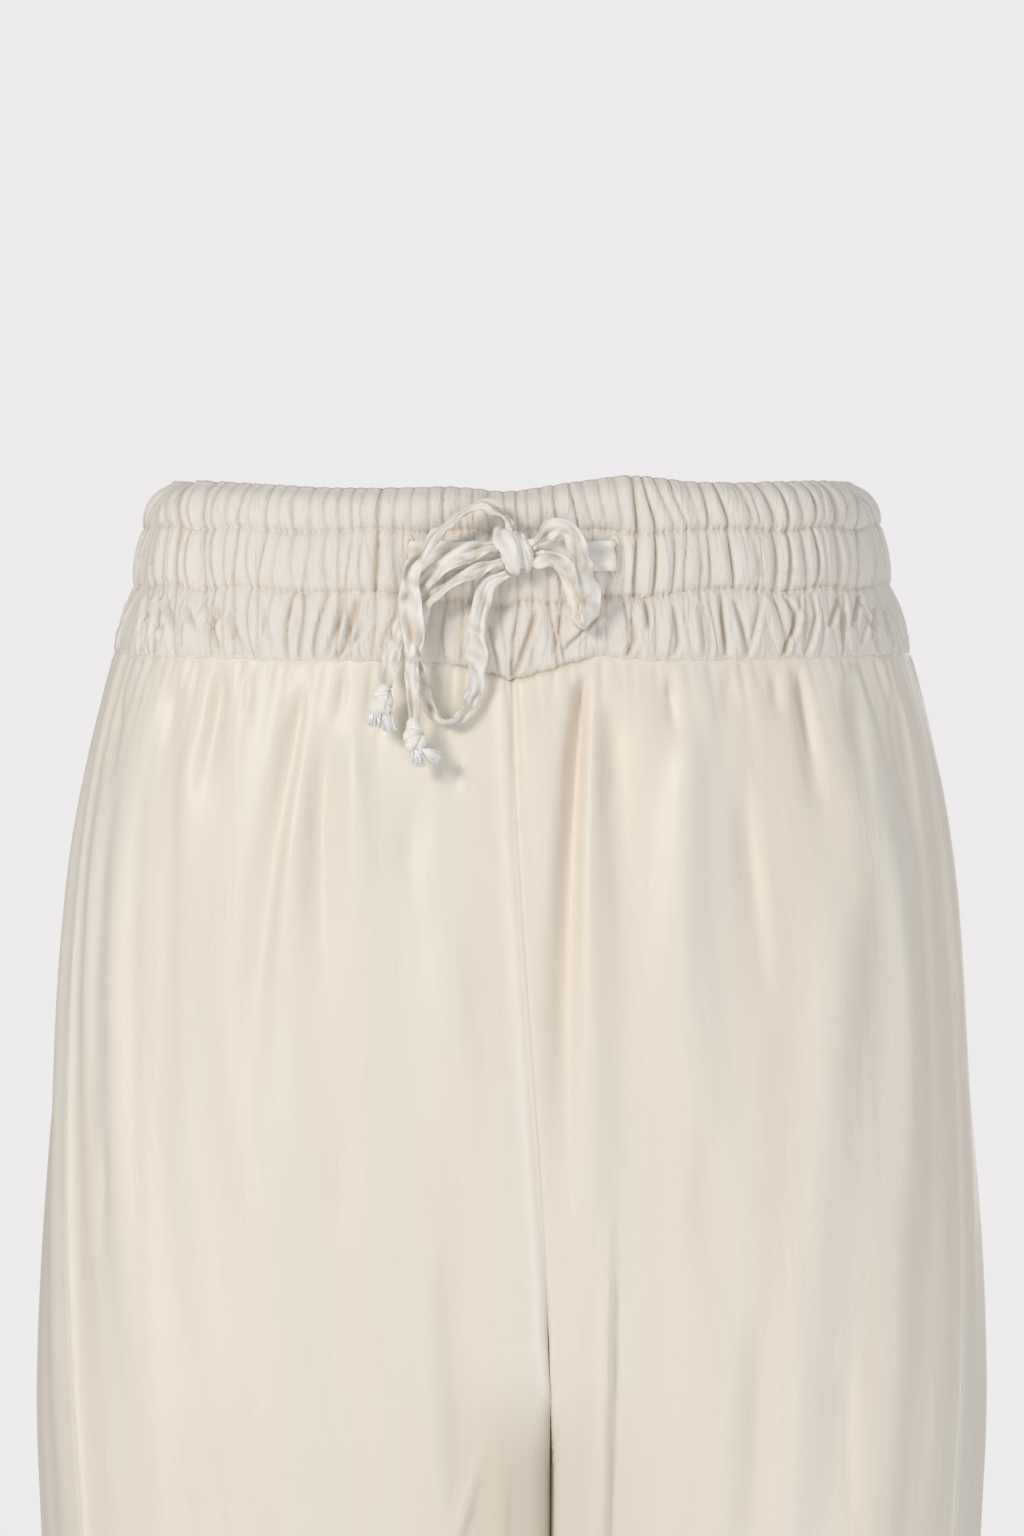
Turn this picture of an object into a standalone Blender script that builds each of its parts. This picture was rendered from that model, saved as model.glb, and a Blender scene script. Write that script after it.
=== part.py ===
"""Loose gathered trousers with a drawstring waist, in the hollow shape that a wearer gives them.

Metres, +Z up, the front faces -Y and the wearer's left is +X. The origin is the middle of the waist
opening. Four leg panels meet at the centre, side and inside-leg seams. A waistband in a front and a back
half sits on them, with two rows of stitching that draw it into three gathered tiers. A flat drawstring comes
out of two buttonholes and is tied in a bow with two knotted ends.
"""

import math
from collections import namedtuple
from functools import lru_cache

import bmesh
import bpy
import numpy as np
from mathutils import Vector

# Driving sizes
CROTCH = -0.381
HIP_LEVEL = -0.200
BAND_SEAM = -0.0688
LEG_CLOTH = 0.0015
BAND_CLOTH = 0.0025
TAPE_CLOTH = 0.0010
TAPE_WIDTH = 0.0120
HALF_SEAM_GAP = 0.0003

# Form of the sections: how square the ovals are, how sharply the cloth turns in between the legs, the height
# over which one body becomes two legs, and the points that a half section is worked out at
SQUARENESS = 2.4
VALLEY = 3.0
PARTING_HEIGHT = 0.30
SECTION_POINTS = 240

# The inner part of a panel, as a share of the half width and of the panel's columns
INNER_REACH = 0.30
INNER_SHARE = 0.3125

# The hang of the cloth: sideways swing of the centre seam, and drop of the band at its middle front and back
SEAM_SWING = 0.015
SWING_RETURN = 0.5
FRONT_DROP = 0.0045
BACK_DROP = 0.0020

# Gathers
PANEL_COLUMNS = 32
PANEL_GATHERS = 8
PANEL_GATHER_RISE = 0.0011
PANEL_GATHER_LENGTH = 0.024
BAND_GATHERS = 24
COLUMNS_PER_GATHER = 4
UNEVENNESS = 0.30
CALM_AT_PANEL_SEAM = 0.06
CALM_AT_BAND_SEAM = 0.07

# Rings of the leg panels, from the waistband seam to the hem. side: half the width of both legs together;
# front and back: depth from the middle; inseam: how far the inside leg stands off the centre;
# forward: how far the side seam is turned towards the front, along the cloth.
Section = namedtuple("Section", "z side front back inseam forward")
LEG_SECTIONS = (
    Section(-0.0688, 0.1590, 0.1100, 0.1140, 0.0000, 0.0360),
    Section(-0.0850, 0.1642, 0.1132, 0.1205, 0.0000, 0.0370),
    Section(-0.1100, 0.1694, 0.1162, 0.1265, 0.0000, 0.0400),
    Section(-0.1500, 0.1755, 0.1195, 0.1330, 0.0000, 0.0420),
    Section(-0.2000, 0.1801, 0.1222, 0.1380, 0.0000, 0.0470),
    Section(-0.2550, 0.1844, 0.1240, 0.1395, 0.0000, 0.0590),
    Section(-0.3050, 0.1874, 0.1246, 0.1380, 0.0000, 0.0700),
    Section(-0.3450, 0.1887, 0.1243, 0.1348, 0.0000, 0.0790),
    Section(-0.3700, 0.1889, 0.1236, 0.1315, 0.0000, 0.0830),
    Section(CROTCH, 0.1884, 0.1230, 0.1300, 0.0000, 0.0840),
    Section(-0.4200, 0.1864, 0.1210, 0.1260, 0.0025, 0.0855),
    Section(-0.5000, 0.1832, 0.1150, 0.1180, 0.0075, 0.0845),
    Section(-0.6000, 0.1785, 0.1050, 0.1080, 0.0135, 0.0770),
    Section(-0.7200, 0.1705, 0.0920, 0.0960, 0.0200, 0.0660),
    Section(-0.8500, 0.1615, 0.0780, 0.0840, 0.0265, 0.0530),
    Section(-0.9900, 0.1520, 0.0640, 0.0700, 0.0320, 0.0420),
)

# Rings of the waistband: the gathered top edge, then each tier's middle and the stitching or seam below it.
# ruffle: how far the gathers stand out at that ring.
BandSection = namedtuple("BandSection", "z side front back inseam forward ruffle")
BAND_SECTIONS = (
    BandSection(0.0020, 0.1350, 0.0985, 0.1005, 0.0, 0.036, 0.0009),
    BandSection(-0.0065, 0.1445, 0.1050, 0.1070, 0.0, 0.036, 0.0015),
    BandSection(-0.0145, 0.1466, 0.1027, 0.1047, 0.0, 0.036, 0.0004),
    BandSection(-0.0265, 0.1488, 0.1072, 0.1092, 0.0, 0.036, 0.0015),
    BandSection(-0.0392, 0.1508, 0.1049, 0.1072, 0.0, 0.036, 0.0004),
    BandSection(-0.0530, 0.1546, 0.1094, 0.1126, 0.0, 0.036, 0.0015),
    BandSection(-0.0667, 0.1586, 0.1098, 0.1138, 0.0, 0.036, 0.0005),
    BandSection(-0.0682, 0.1587, 0.1098, 0.1138, 0.0, 0.036, 0.0005),
)
DRAWSTRING_TIER, LOWER_STITCHING = 3, 4
# The gathers of each tier start at their own place, as a share of one gather.
TIER_PHASES = (0.0, 0.0, 0.25, 0.25, 0.5, 0.5, 0.75, 0.75)

# Long soft folds of the leg panels, as shares of the way from the centre seam to the side seam at the top and
# at the foot. rise is outwards, so a trough is below zero; starts and ends are heights.
Fold = namedtuple("Fold", "top foot width rise starts ends")
FOLDS = {
    ("front", 1): (
        Fold(0.11, 0.20, 0.040, -0.0035, -0.075, -0.66),
        Fold(0.21, 0.30, 0.050, 0.0028, -0.085, -0.80),
        Fold(0.34, 0.42, 0.055, 0.0025, -0.090, -0.55),
        Fold(0.46, 0.52, 0.045, -0.0038, -0.090, -0.90),
        Fold(0.56, 0.60, 0.050, 0.0028, -0.095, -0.75),
        Fold(0.65, 0.66, 0.035, -0.0028, -0.070, -0.24),
        Fold(0.85, 0.80, 0.050, -0.0030, -0.070, -0.60),
    ),
    ("front", -1): (
        Fold(0.12, 0.22, 0.050, 0.0026, -0.130, -0.50),
        Fold(0.20, 0.28, 0.040, -0.0030, -0.090, -0.62),
        Fold(0.31, 0.38, 0.050, 0.0030, -0.075, -0.85),
        Fold(0.39, 0.46, 0.040, -0.0028, -0.080, -0.42),
        Fold(0.50, 0.56, 0.045, -0.0034, -0.100, -0.92),
        Fold(0.62, 0.64, 0.035, -0.0034, -0.070, -0.26),
        Fold(0.74, 0.74, 0.060, 0.0028, -0.080, -0.70),
    ),
    ("back", 1): (
        Fold(0.16, 0.22, 0.045, -0.0034, -0.075, -0.72),
        Fold(0.30, 0.34, 0.050, 0.0026, -0.080, -0.50),
        Fold(0.42, 0.46, 0.040, -0.0036, -0.075, -0.88),
        Fold(0.58, 0.60, 0.050, 0.0028, -0.085, -0.66),
        Fold(0.71, 0.66, 0.045, -0.0030, -0.075, -0.40),
        Fold(0.85, 0.82, 0.045, 0.0010, -0.090, -0.80),
    ),
    ("back", -1): (
        Fold(0.13, 0.20, 0.045, 0.0026, -0.085, -0.60),
        Fold(0.25, 0.31, 0.040, -0.0034, -0.075, -0.84),
        Fold(0.40, 0.44, 0.050, 0.0028, -0.080, -0.72),
        Fold(0.53, 0.55, 0.045, -0.0036, -0.080, -0.46),
        Fold(0.67, 0.64, 0.045, -0.0028, -0.075, -0.90),
        Fold(0.82, 0.80, 0.050, 0.0010, -0.080, -0.55),
    ),
}
# Heights over which a fold comes in and fades away
FOLD_IN = 0.045
FOLD_OUT = 0.140

# Where the gathered edges dip or rise across the front: at is the distance from the centre. SEAM_DIP is the
# shallow point of the band's lower seam, and SEAM_DIP_LENGTH how far down the legs it is felt.
EdgeWave = namedtuple("EdgeWave", "at width rise")
SEAM_DIP = EdgeWave(-0.0015, 0.024, -0.0080)
SEAM_DIP_LENGTH = 0.060
TOP_EDGE_WAVES = (
    EdgeWave(-0.0020, 0.014, -0.0024),
    EdgeWave(0.0460, 0.020, 0.0036),
)

# Stops along the drawstring. width is the tape's, less where it is crumpled, and turn is how many degrees its
# face is turned from facing forward.
Stop = namedtuple("Stop", "x y z width turn")
BUTTONHOLE_AT = (0.0398, -0.0302)
BUTTONHOLE_WIDE = 0.0022
BUTTONHOLE_TALL = 0.0136
BUTTONHOLE_DEPTH = 0.024
KNOT_MIDDLE = (0.0019, -0.1145, -0.0285)
KNOT_HALF = (0.0065, 0.0058, 0.0090)
LEFT_LOOP = (
    Stop(-0.0006, -0.1143, -0.0194, 0.0040, 30),
    Stop(-0.0060, -0.1145, -0.0128, 0.0055, 50),
    Stop(-0.0131, -0.1148, -0.0103, 0.0070, 50),
    Stop(-0.0220, -0.1140, -0.0150, 0.0080, 40),
    Stop(-0.0298, -0.1130, -0.0235, 0.0090, 22),
    Stop(-0.0367, -0.1122, -0.0331, 0.0100, 8),
    Stop(-0.0394, -0.1122, -0.0455, 0.0100, 4),
    Stop(-0.0383, -0.1135, -0.0610, 0.0100, 6),
    Stop(-0.0360, -0.1165, -0.0753, 0.0095, 12),
    Stop(-0.0329, -0.1195, -0.0861, 0.0085, 40),
    Stop(-0.0278, -0.1215, -0.0931, 0.0075, 60),
    Stop(-0.0220, -0.1220, -0.0938, 0.0075, 65),
    Stop(-0.0174, -0.1210, -0.0892, 0.0080, 50),
    Stop(-0.0143, -0.1195, -0.0807, 0.0085, 30),
    Stop(-0.0131, -0.1175, -0.0668, 0.0085, 15),
    Stop(-0.0131, -0.1160, -0.0536, 0.0080, 10),
    Stop(-0.0100, -0.1148, -0.0428, 0.0070, 10),
    Stop(-0.0020, -0.1142, -0.0367, 0.0045, 10),
)
RIGHT_LOOP = (
    Stop(0.0096, -0.1160, -0.0290, 0.0050, 20),
    Stop(0.0150, -0.1180, -0.0262, 0.0070, 25),
    Stop(0.0205, -0.1190, -0.0232, 0.0080, 50),
    Stop(0.0247, -0.1195, -0.0262, 0.0090, 55),
    Stop(0.0286, -0.1195, -0.0366, 0.0095, 30),
    Stop(0.0325, -0.1190, -0.0474, 0.0090, 40),
    Stop(0.0338, -0.1180, -0.0548, 0.0070, 70),
    Stop(0.0306, -0.1168, -0.0595, 0.0060, 80),
    Stop(0.0268, -0.1158, -0.0540, 0.0065, 70),
    Stop(0.0230, -0.1150, -0.0430, 0.0070, 40),
    Stop(0.0180, -0.1145, -0.0375, 0.0065, 20),
    Stop(0.0130, -0.1140, -0.0360, 0.0055, 15),
    Stop(0.0084, -0.1136, -0.0352, 0.0040, 15),
)
SHORT_END = (
    Stop(-0.0054, -0.1148, -0.0268, 0.0050, 5),
    Stop(-0.0162, -0.1168, -0.0288, 0.0080, 8),
    Stop(-0.0259, -0.1172, -0.0331, 0.0090, 10),
    Stop(-0.0340, -0.1172, -0.0409, 0.0085, 12),
    Stop(-0.0394, -0.1175, -0.0532, 0.0075, 15),
    Stop(-0.0445, -0.1190, -0.0687, 0.0065, 15),
    Stop(-0.0489, -0.1225, -0.0808, 0.0040, 10),
)
LONG_END = (
    Stop(-0.0036, -0.1164, -0.0333, 0.0045, 10),
    Stop(-0.0162, -0.1218, -0.0368, 0.0070, 12),
    Stop(-0.0259, -0.1225, -0.0420, 0.0080, 14),
    Stop(-0.0325, -0.1222, -0.0486, 0.0090, 14),
    Stop(-0.0363, -0.1228, -0.0598, 0.0095, 8),
    Stop(-0.0385, -0.1240, -0.0745, 0.0075, 6),
    Stop(-0.0380, -0.1249, -0.0946, 0.0040, 5),
)
SHORT_KNOT_AT = (-0.0503, -0.1240, -0.0882)
LONG_KNOT_AT = (-0.0377, -0.1253, -0.1019)
# Half outline of a knotted end, from its top down: distance from its middle line, and height.
END_KNOT_PROFILE = (
    (0.0, 0.0070), (0.0026, 0.0066), (0.0046, 0.0036), (0.0049, -0.0006), (0.0036, -0.0050),
    (0.0014, -0.0068), (0.0016, -0.0078), (0.0031, -0.0116), (0.0, -0.0120),
)
KNOT_SIDES = 12
DENSE_SPACING = 0.0024
LOOP_SPACING = 0.0060


def start_scene():
    """Clears the scene and makes the two collections."""
    for old in list(bpy.data.objects):
        bpy.data.objects.remove(old)
    found = {}
    for name in ("drawstring_trousers", "cutters"):
        found[name] = bpy.data.collections.new(name)
        bpy.context.scene.collection.children.link(found[name])
    return found["drawstring_trousers"], found["cutters"]


def cloth_material(name, colour, roughness):
    material = bpy.data.materials.new(name)
    material.use_nodes = True
    shader = material.node_tree.nodes["Principled BSDF"]
    shader.inputs["Base Color"].default_value = (*colour, 1.0)
    shader.inputs["Roughness"].default_value = roughness
    shader.inputs["Metallic"].default_value = 0.0
    return material


def eased(share):
    """0 to 1 with a soft start and a soft end."""
    share = min(1.0, max(0.0, share))
    return share * share * (3.0 - 2.0 * share)


def bump(distance, width):
    return math.exp(-((distance / width) ** 2))


def size_at(table, z, column):
    """One column of a section table at height z."""
    heights = [-row.z for row in table]
    return float(np.interp(-z, heights, [getattr(row, column) for row in table]))


def quarter_outline(side, depth, inseam, one_body, joined):
    """Distance across and depth, from the centre seam or the inside leg round to the side.

    one_body is 1 where both legs hang as one squarish oval, and 0 where each leg is its own.
    joined is how far forward the centre seam still stands: 1 level with the front, 0 in under the body.
    """
    middle, half = (side + inseam) / 2.0, (side - inseam) / 2.0
    turn = np.linspace(0.0, math.pi / 2.0, SECTION_POINTS // 4)
    rising = np.sin(turn) ** (2.0 / SQUARENESS)
    falling = np.cos(turn) ** (2.0 / SQUARENESS)
    inner, outer = middle - half * falling, middle + half * rising
    body_inner, body_outer = (
        (1.0 - (x / side) ** SQUARENESS).clip(0.0) ** (1.0 / SQUARENESS) for x in (inner, outer)
    )
    valley = (joined**VALLEY + rising**VALLEY - (joined * rising) ** VALLEY) ** (1.0 / VALLEY)
    inner_depth = (one_body * body_inner + 1.0 - one_body) * valley
    outer_depth = one_body * body_outer + (1.0 - one_body) * falling
    x = np.concatenate([inner[:-1], outer])
    return np.stack([x, depth * np.concatenate([inner_depth[:-1], outer_depth])], axis=1)


def seam_reach(z):
    """How far forward the centre seam stands at height z: 1 down to the hips, 0 from the crotch down."""
    fallen = min(1.0, max(0.0, (HIP_LEVEL - z) / (HIP_LEVEL - CROTCH)))
    return math.sqrt(max(0.0, 1.0 - fallen**2.2))


@lru_cache(maxsize=None)
def half_section(table, z):
    """Half of the garment cut at height z, from the centre front or inside leg round the side to the back.

    Above the hips it is half an oval. From there to the crotch it turns into the whole oval of one leg, so
    the centre seam curves under the body to meet the inside-leg seams. Returns its points and how far along
    it each one lies.
    """
    side, inseam = size_at(table, z, "side"), max(size_at(table, z, "inseam"), HALF_SEAM_GAP)
    joined = seam_reach(z)
    one_body = 1.0 - eased((HIP_LEVEL - z) / PARTING_HEIGHT)
    front, back = (
        quarter_outline(side, size_at(table, z, face), inseam, one_body, joined) for face in ("front", "back")
    )
    points = np.concatenate([front * (1.0, -1.0), back[-2::-1]])
    steps = np.linalg.norm(np.diff(points, axis=0), axis=1)
    return points, np.concatenate([[0.0], np.cumsum(steps)])


@lru_cache(maxsize=None)
def side_seam_at(table, z):
    """Distance along the half section from the centre front to the side seam."""
    points, along = half_section(table, z)
    return along[int(np.argmax(points[:, 0]))] - size_at(table, z, "forward")


@lru_cache(maxsize=None)
def panel_distances(face, z):
    """Distances along the half section of a panel's seam edge, the end of its inner part, and its side edge.

    The inner part takes up the cloth that turns in under the body, so the rest of the panel hangs straight.
    """
    points, along = half_section(LEG_SECTIONS, z)
    widest = int(np.argmax(points[:, 0]))
    inner_x = INNER_REACH * points[widest, 0]
    seam_gap = HALF_SEAM_GAP * (1.0 - seam_reach(z))
    side = side_seam_at(LEG_SECTIONS, z)
    if face == "front":
        return seam_gap, np.interp(inner_x, points[:widest, 0], along[:widest]), side - HALF_SEAM_GAP
    inner = np.interp(inner_x, points[:widest:-1, 0], along[:widest:-1])
    return along[-1] - seam_gap, inner, side + HALF_SEAM_GAP


def on_section(table, z, distance):
    """The point at this distance along the half section, and the way out of the cloth there."""
    points, along = half_section(table, z)
    step = 0.002
    place = [np.interp(distance, along, points[:, k]) for k in (0, 1)]
    ahead = [np.interp(distance + step, along, points[:, k]) for k in (0, 1)]
    behind = [np.interp(distance - step, along, points[:, k]) for k in (0, 1)]
    tangent = Vector((ahead[0] - behind[0], ahead[1] - behind[1])).normalized()
    return Vector(place), Vector((tangent.y, -tangent.x))


def edge_drop(y, table, z):
    """How far the band and the tops of the legs sit lower at the middle of the front and of the back."""
    face, drop = ("front", FRONT_DROP) if y < 0 else ("back", BACK_DROP)
    return drop * (y / size_at(table, z, face)) ** 2


def swing(point, table, z):
    """The front and back centre seams wander sideways as the cloth hangs from the gathered band."""
    side = size_at(table, z, "side")
    fallen = eased((BAND_SEAM - z) / (BAND_SEAM - CROTCH))
    returned = 1.0 - eased((CROTCH - z) / SWING_RETURN)
    return SEAM_SWING * fallen * returned * (1.0 - (point.x / side) ** 2)


def fold_rise(folds, across, z):
    """How far the long folds push the cloth out at this place."""
    rise = 0.0
    lowest = LEG_SECTIONS[-1].z
    for fold in folds:
        place = fold.top + (fold.foot - fold.top) * (z - BAND_SEAM) / (lowest - BAND_SEAM)
        fades = eased((fold.starts - z) / FOLD_IN) * (1.0 - eased((fold.ends + FOLD_OUT - z) / FOLD_OUT))
        rise += fold.rise * fades * bump(across - place, fold.width)
    return rise * min(1.0, across / CALM_AT_PANEL_SEAM, (1.0 - across) / CALM_AT_PANEL_SEAM)


def leg_point(face, side, across, ring):
    """A point on a leg panel: across from the centre seam to the side seam, ring from the top to the hem."""
    z = LEG_SECTIONS[ring].z
    distance = np.interp(across, (0.0, INNER_SHARE, 1.0), panel_distances(face, z))
    point, outward = on_section(LEG_SECTIONS, z, distance)
    gather = -math.cos(2.0 * math.pi * PANEL_GATHERS * across) * PANEL_GATHER_RISE
    gather *= bump(BAND_SEAM - z, PANEL_GATHER_LENGTH)
    facing_other_leg = eased(-1.5 * outward.x)
    point += outward * (fold_rise(FOLDS[face, side], across, z) * (1.0 - facing_other_leg) + gather)
    x = point.x * side
    fall = edge_drop(point.y, LEG_SECTIONS, z)
    if face == "front":
        fall -= SEAM_DIP.rise * bump(x - SEAM_DIP.at, SEAM_DIP.width)
    fall *= bump(BAND_SEAM - z, SEAM_DIP_LENGTH)
    return Vector((x + swing(point, LEG_SECTIONS, z), point.y, z - fall))


def band_point(face, across, ring):
    """A point on a half of the waistband: across from the wearer's right to left, ring from the top down."""
    row = BAND_SECTIONS[ring]
    to_side = side_seam_at(BAND_SECTIONS, row.z)
    whole = half_section(BAND_SECTIONS, row.z)[1][-1]
    reach = (to_side if face == "front" else whole - to_side) - HALF_SEAM_GAP
    from_centre = reach * (2.0 * across - 1.0)
    distance = abs(from_centre) if face == "front" else whole - abs(from_centre)
    point, outward = on_section(BAND_SECTIONS, row.z, distance)
    uneven = 1.0 + UNEVENNESS * math.cos(2.0 * math.pi * (3.0 * across + 0.2))
    wave = uneven * math.cos(2.0 * math.pi * (BAND_GATHERS * across + TIER_PHASES[ring]))
    calm = min(1.0, (1.0 - abs(2.0 * across - 1.0)) / CALM_AT_BAND_SEAM)
    point += outward * row.ruffle * (wave * calm - 0.7 * (1.0 - calm))
    x = math.copysign(point.x, from_centre)
    z = row.z - edge_drop(point.y, BAND_SECTIONS, row.z)
    if face == "front" and ring == 0:
        z += sum(wave.rise * bump(x - wave.at, wave.width) for wave in TOP_EDGE_WAVES)
    if face == "front":
        stitching, seam = BAND_SECTIONS[LOWER_STITCHING].z, BAND_SECTIONS[-1].z
        below = eased((stitching - row.z) / (stitching - seam))
        z += SEAM_DIP.rise * bump(x - SEAM_DIP.at, SEAM_DIP.width) * below
    return Vector((x, point.y, z))


def cloth_piece(name, columns, rows, place, thickness, material, home, inside_out=False, side=-1.0):
    """A grid laid out by place(across, row), with its thickness on the inner side, or both if side is 0."""
    grid = bmesh.new()
    bmesh.ops.create_grid(grid, x_segments=columns, y_segments=rows, size=0.5)
    for corner in grid.verts:
        row = round((0.5 - corner.co.y) * rows)
        corner.co = place(corner.co.x + 0.5, row)
    if inside_out:
        bmesh.ops.reverse_faces(grid, faces=grid.faces)
    mesh = bpy.data.meshes.new(name)
    grid.to_mesh(mesh)
    grid.free()
    mesh.shade_smooth()
    mesh.materials.append(material)
    piece = bpy.data.objects.new(name, mesh)
    home.objects.link(piece)
    wall = piece.modifiers.new("Cloth thickness", "SOLIDIFY")
    wall.thickness = thickness
    wall.offset = side
    return piece


def smooth_route(stops, count):
    """Evenly spaced values along a smooth curve through the stops, all columns together."""
    table = np.array(stops, float)
    ends = np.vstack([2 * table[0] - table[1], table, 2 * table[-1] - table[-2]])
    fine = []
    for i in range(1, len(ends) - 2):
        before, start, end, after = ends[i - 1 : i + 3]
        for t in np.linspace(0.0, 1.0, 12, endpoint=False):
            bend = 2 * before - 5 * start + 4 * end - after
            twist = 3 * start - before - 3 * end + after
            fine.append(0.5 * (2 * start + (end - before) * t + bend * t * t + twist * t**3))
    fine = np.array([*fine, table[-1]])
    along = np.concatenate([[0.0], np.cumsum(np.linalg.norm(np.diff(fine[:, :3], axis=0), axis=1))])
    at = np.linspace(0.0, along[-1], count)
    return np.stack([np.interp(at, along, fine[:, k]) for k in range(table.shape[1])], axis=1)


def tape(name, stops, spacing, material, home, upright=False):
    """A flat strip along the stops. upright keeps its width vertical, as where it lies along the band."""
    line = smooth_route(stops, 200)
    length = float(np.linalg.norm(np.diff(line[:, :3], axis=0), axis=1).sum())
    rows = max(4, round(length / spacing))
    line = smooth_route(stops, rows + 1)
    forward = Vector((0.0, -1.0, 0.0))
    edges = []
    for i, stop in enumerate(line):
        path = Vector(line[min(i + 1, rows)][:3] - line[max(i - 1, 0)][:3]).normalized()
        level = path.cross(forward).normalized()
        turn = math.radians(stop[4])
        across = level * math.cos(turn) + path.cross(level) * math.sin(turn)
        if upright:
            across = Vector((0.0, 0.0, 1.0))
        edges.append((Vector(stop[:3]), across * stop[3]))

    def place(across, row):
        middle, width = edges[row]
        return middle + width * (across - 0.5)

    return cloth_piece(name, 2, rows, place, TAPE_CLOTH, material, home, side=0.0)


def bow_knot(material, home):
    """The wrap of tape in the middle of the bow."""
    shape = bmesh.new()
    bmesh.ops.create_uvsphere(shape, u_segments=16, v_segments=10, radius=1.0)
    for corner in shape.verts:
        corner.co = Vector(c * half for c, half in zip(corner.co, KNOT_HALF))
    mesh = bpy.data.meshes.new("bow_knot")
    shape.to_mesh(mesh)
    shape.free()
    mesh.shade_smooth()
    mesh.materials.append(material)
    knot = bpy.data.objects.new("bow_knot", mesh)
    home.objects.link(knot)
    knot.location = KNOT_MIDDLE
    return knot


def end_knot(name, at, material, home):
    """A knotted tape end with its short tip: a turned shape."""
    mesh = bpy.data.meshes.new(name)
    points = [(x, 0.0, z) for x, z in END_KNOT_PROFILE]
    mesh.from_pydata(points, [(i, i + 1) for i in range(len(points) - 1)], [])
    mesh.materials.append(material)
    knot = bpy.data.objects.new(name, mesh)
    home.objects.link(knot)
    knot.location = at
    turned = knot.modifiers.new("Turned", "SCREW")
    turned.steps = KNOT_SIDES
    turned.render_steps = KNOT_SIDES
    turned.use_merge_vertices = True
    turned.merge_threshold = 0.00005
    return knot


def cut_buttonhole(band, side, cutters):
    """An upright slit in the middle tier, where the drawstring comes out."""
    bpy.ops.mesh.primitive_cube_add(size=1.0)
    slit = bpy.context.object
    slit.name = f"buttonhole_cutter_{'left' if side > 0 else 'right'}"
    for home in list(slit.users_collection):
        home.objects.unlink(slit)
    cutters.objects.link(slit)
    slit.location = (side * BUTTONHOLE_AT[0], -BAND_SECTIONS[DRAWSTRING_TIER].front, BUTTONHOLE_AT[1])
    slit.dimensions = (BUTTONHOLE_WIDE, BUTTONHOLE_DEPTH, BUTTONHOLE_TALL)
    slit.hide_render = True
    slit.display_type = "WIRE"
    cut = band.modifiers.new("Buttonhole", "BOOLEAN")
    cut.operation = "DIFFERENCE"
    cut.object = slit


def flat_run(side):
    """Stops of the drawstring from inside a buttonhole, along the band, to the side of the knot."""
    hole, height = BUTTONHOLE_AT
    knot_side = KNOT_MIDDLE[0] + side * 0.0056
    return (
        Stop(side * hole, -0.1030, height, TAPE_WIDTH, 0),
        Stop(side * hole, -0.1064, height, TAPE_WIDTH, 0),
        Stop(side * (hole - 0.0012), -0.1082, height, TAPE_WIDTH, 0),
        Stop(side * (hole - 0.0045), -0.1087, height, TAPE_WIDTH, 0),
        Stop(side * 0.0290, -0.1090, height, TAPE_WIDTH, 0),
        Stop(side * 0.0170, -0.1097, height + 0.0004, 0.0110, 0),
        Stop(knot_side, -0.1100, height + 0.0010, 0.0070, 0),
    )


def build():
    home, cutters = start_scene()
    satin = cloth_material("leg_satin", (0.80, 0.74, 0.63), 0.42)
    crepe = cloth_material("band_crepe", (0.80, 0.75, 0.67), 0.75)
    tape_cloth = cloth_material("tape_cloth", (0.82, 0.78, 0.71), 0.70)

    leg_rows = len(LEG_SECTIONS) - 1
    for face in ("front", "back"):
        for side, hand in ((1, "left"), (-1, "right")):

            def place(across, ring, face=face, side=side):
                return leg_point(face, side, across, ring)

            inside_out = (side < 0) == (face == "front")
            cloth_piece(
                f"{face}_{hand}_leg", PANEL_COLUMNS, leg_rows, place, LEG_CLOTH, satin, home, inside_out
            )

    band_columns = BAND_GATHERS * COLUMNS_PER_GATHER
    band_rows = len(BAND_SECTIONS) - 1
    for face in ("front", "back"):

        def place(across, ring, face=face):
            return band_point(face, across, ring)

        band = cloth_piece(
            f"waistband_{face}", band_columns, band_rows, place, BAND_CLOTH, crepe, home, face == "back"
        )
        if face == "front":
            cut_buttonhole(band, 1, cutters)
            cut_buttonhole(band, -1, cutters)

    tape("tape_left_of_knot", flat_run(1), DENSE_SPACING, tape_cloth, home, upright=True)
    tape("tape_right_of_knot", flat_run(-1), DENSE_SPACING, tape_cloth, home, upright=True)
    bow_knot(tape_cloth, home)
    tape("bow_loop_hanging", LEFT_LOOP, LOOP_SPACING, tape_cloth, home)
    tape("bow_loop_small", RIGHT_LOOP, LOOP_SPACING, tape_cloth, home)
    tape("tape_end_short", SHORT_END, LOOP_SPACING, tape_cloth, home)
    tape("tape_end_long", LONG_END, LOOP_SPACING, tape_cloth, home)
    end_knot("end_knot_short", SHORT_KNOT_AT, tape_cloth, home)
    end_knot("end_knot_long", LONG_KNOT_AT, tape_cloth, home)


build()
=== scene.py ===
"""Loose gathered trousers in cream satin, with a crepe waistband and a drawstring tied in a bow.

Metres, +Z up. The front faces -Y, and the wearer's left is +X.
"""

import math
import random

import bpy
import numpy as np
from mathutils import Matrix, Vector


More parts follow.
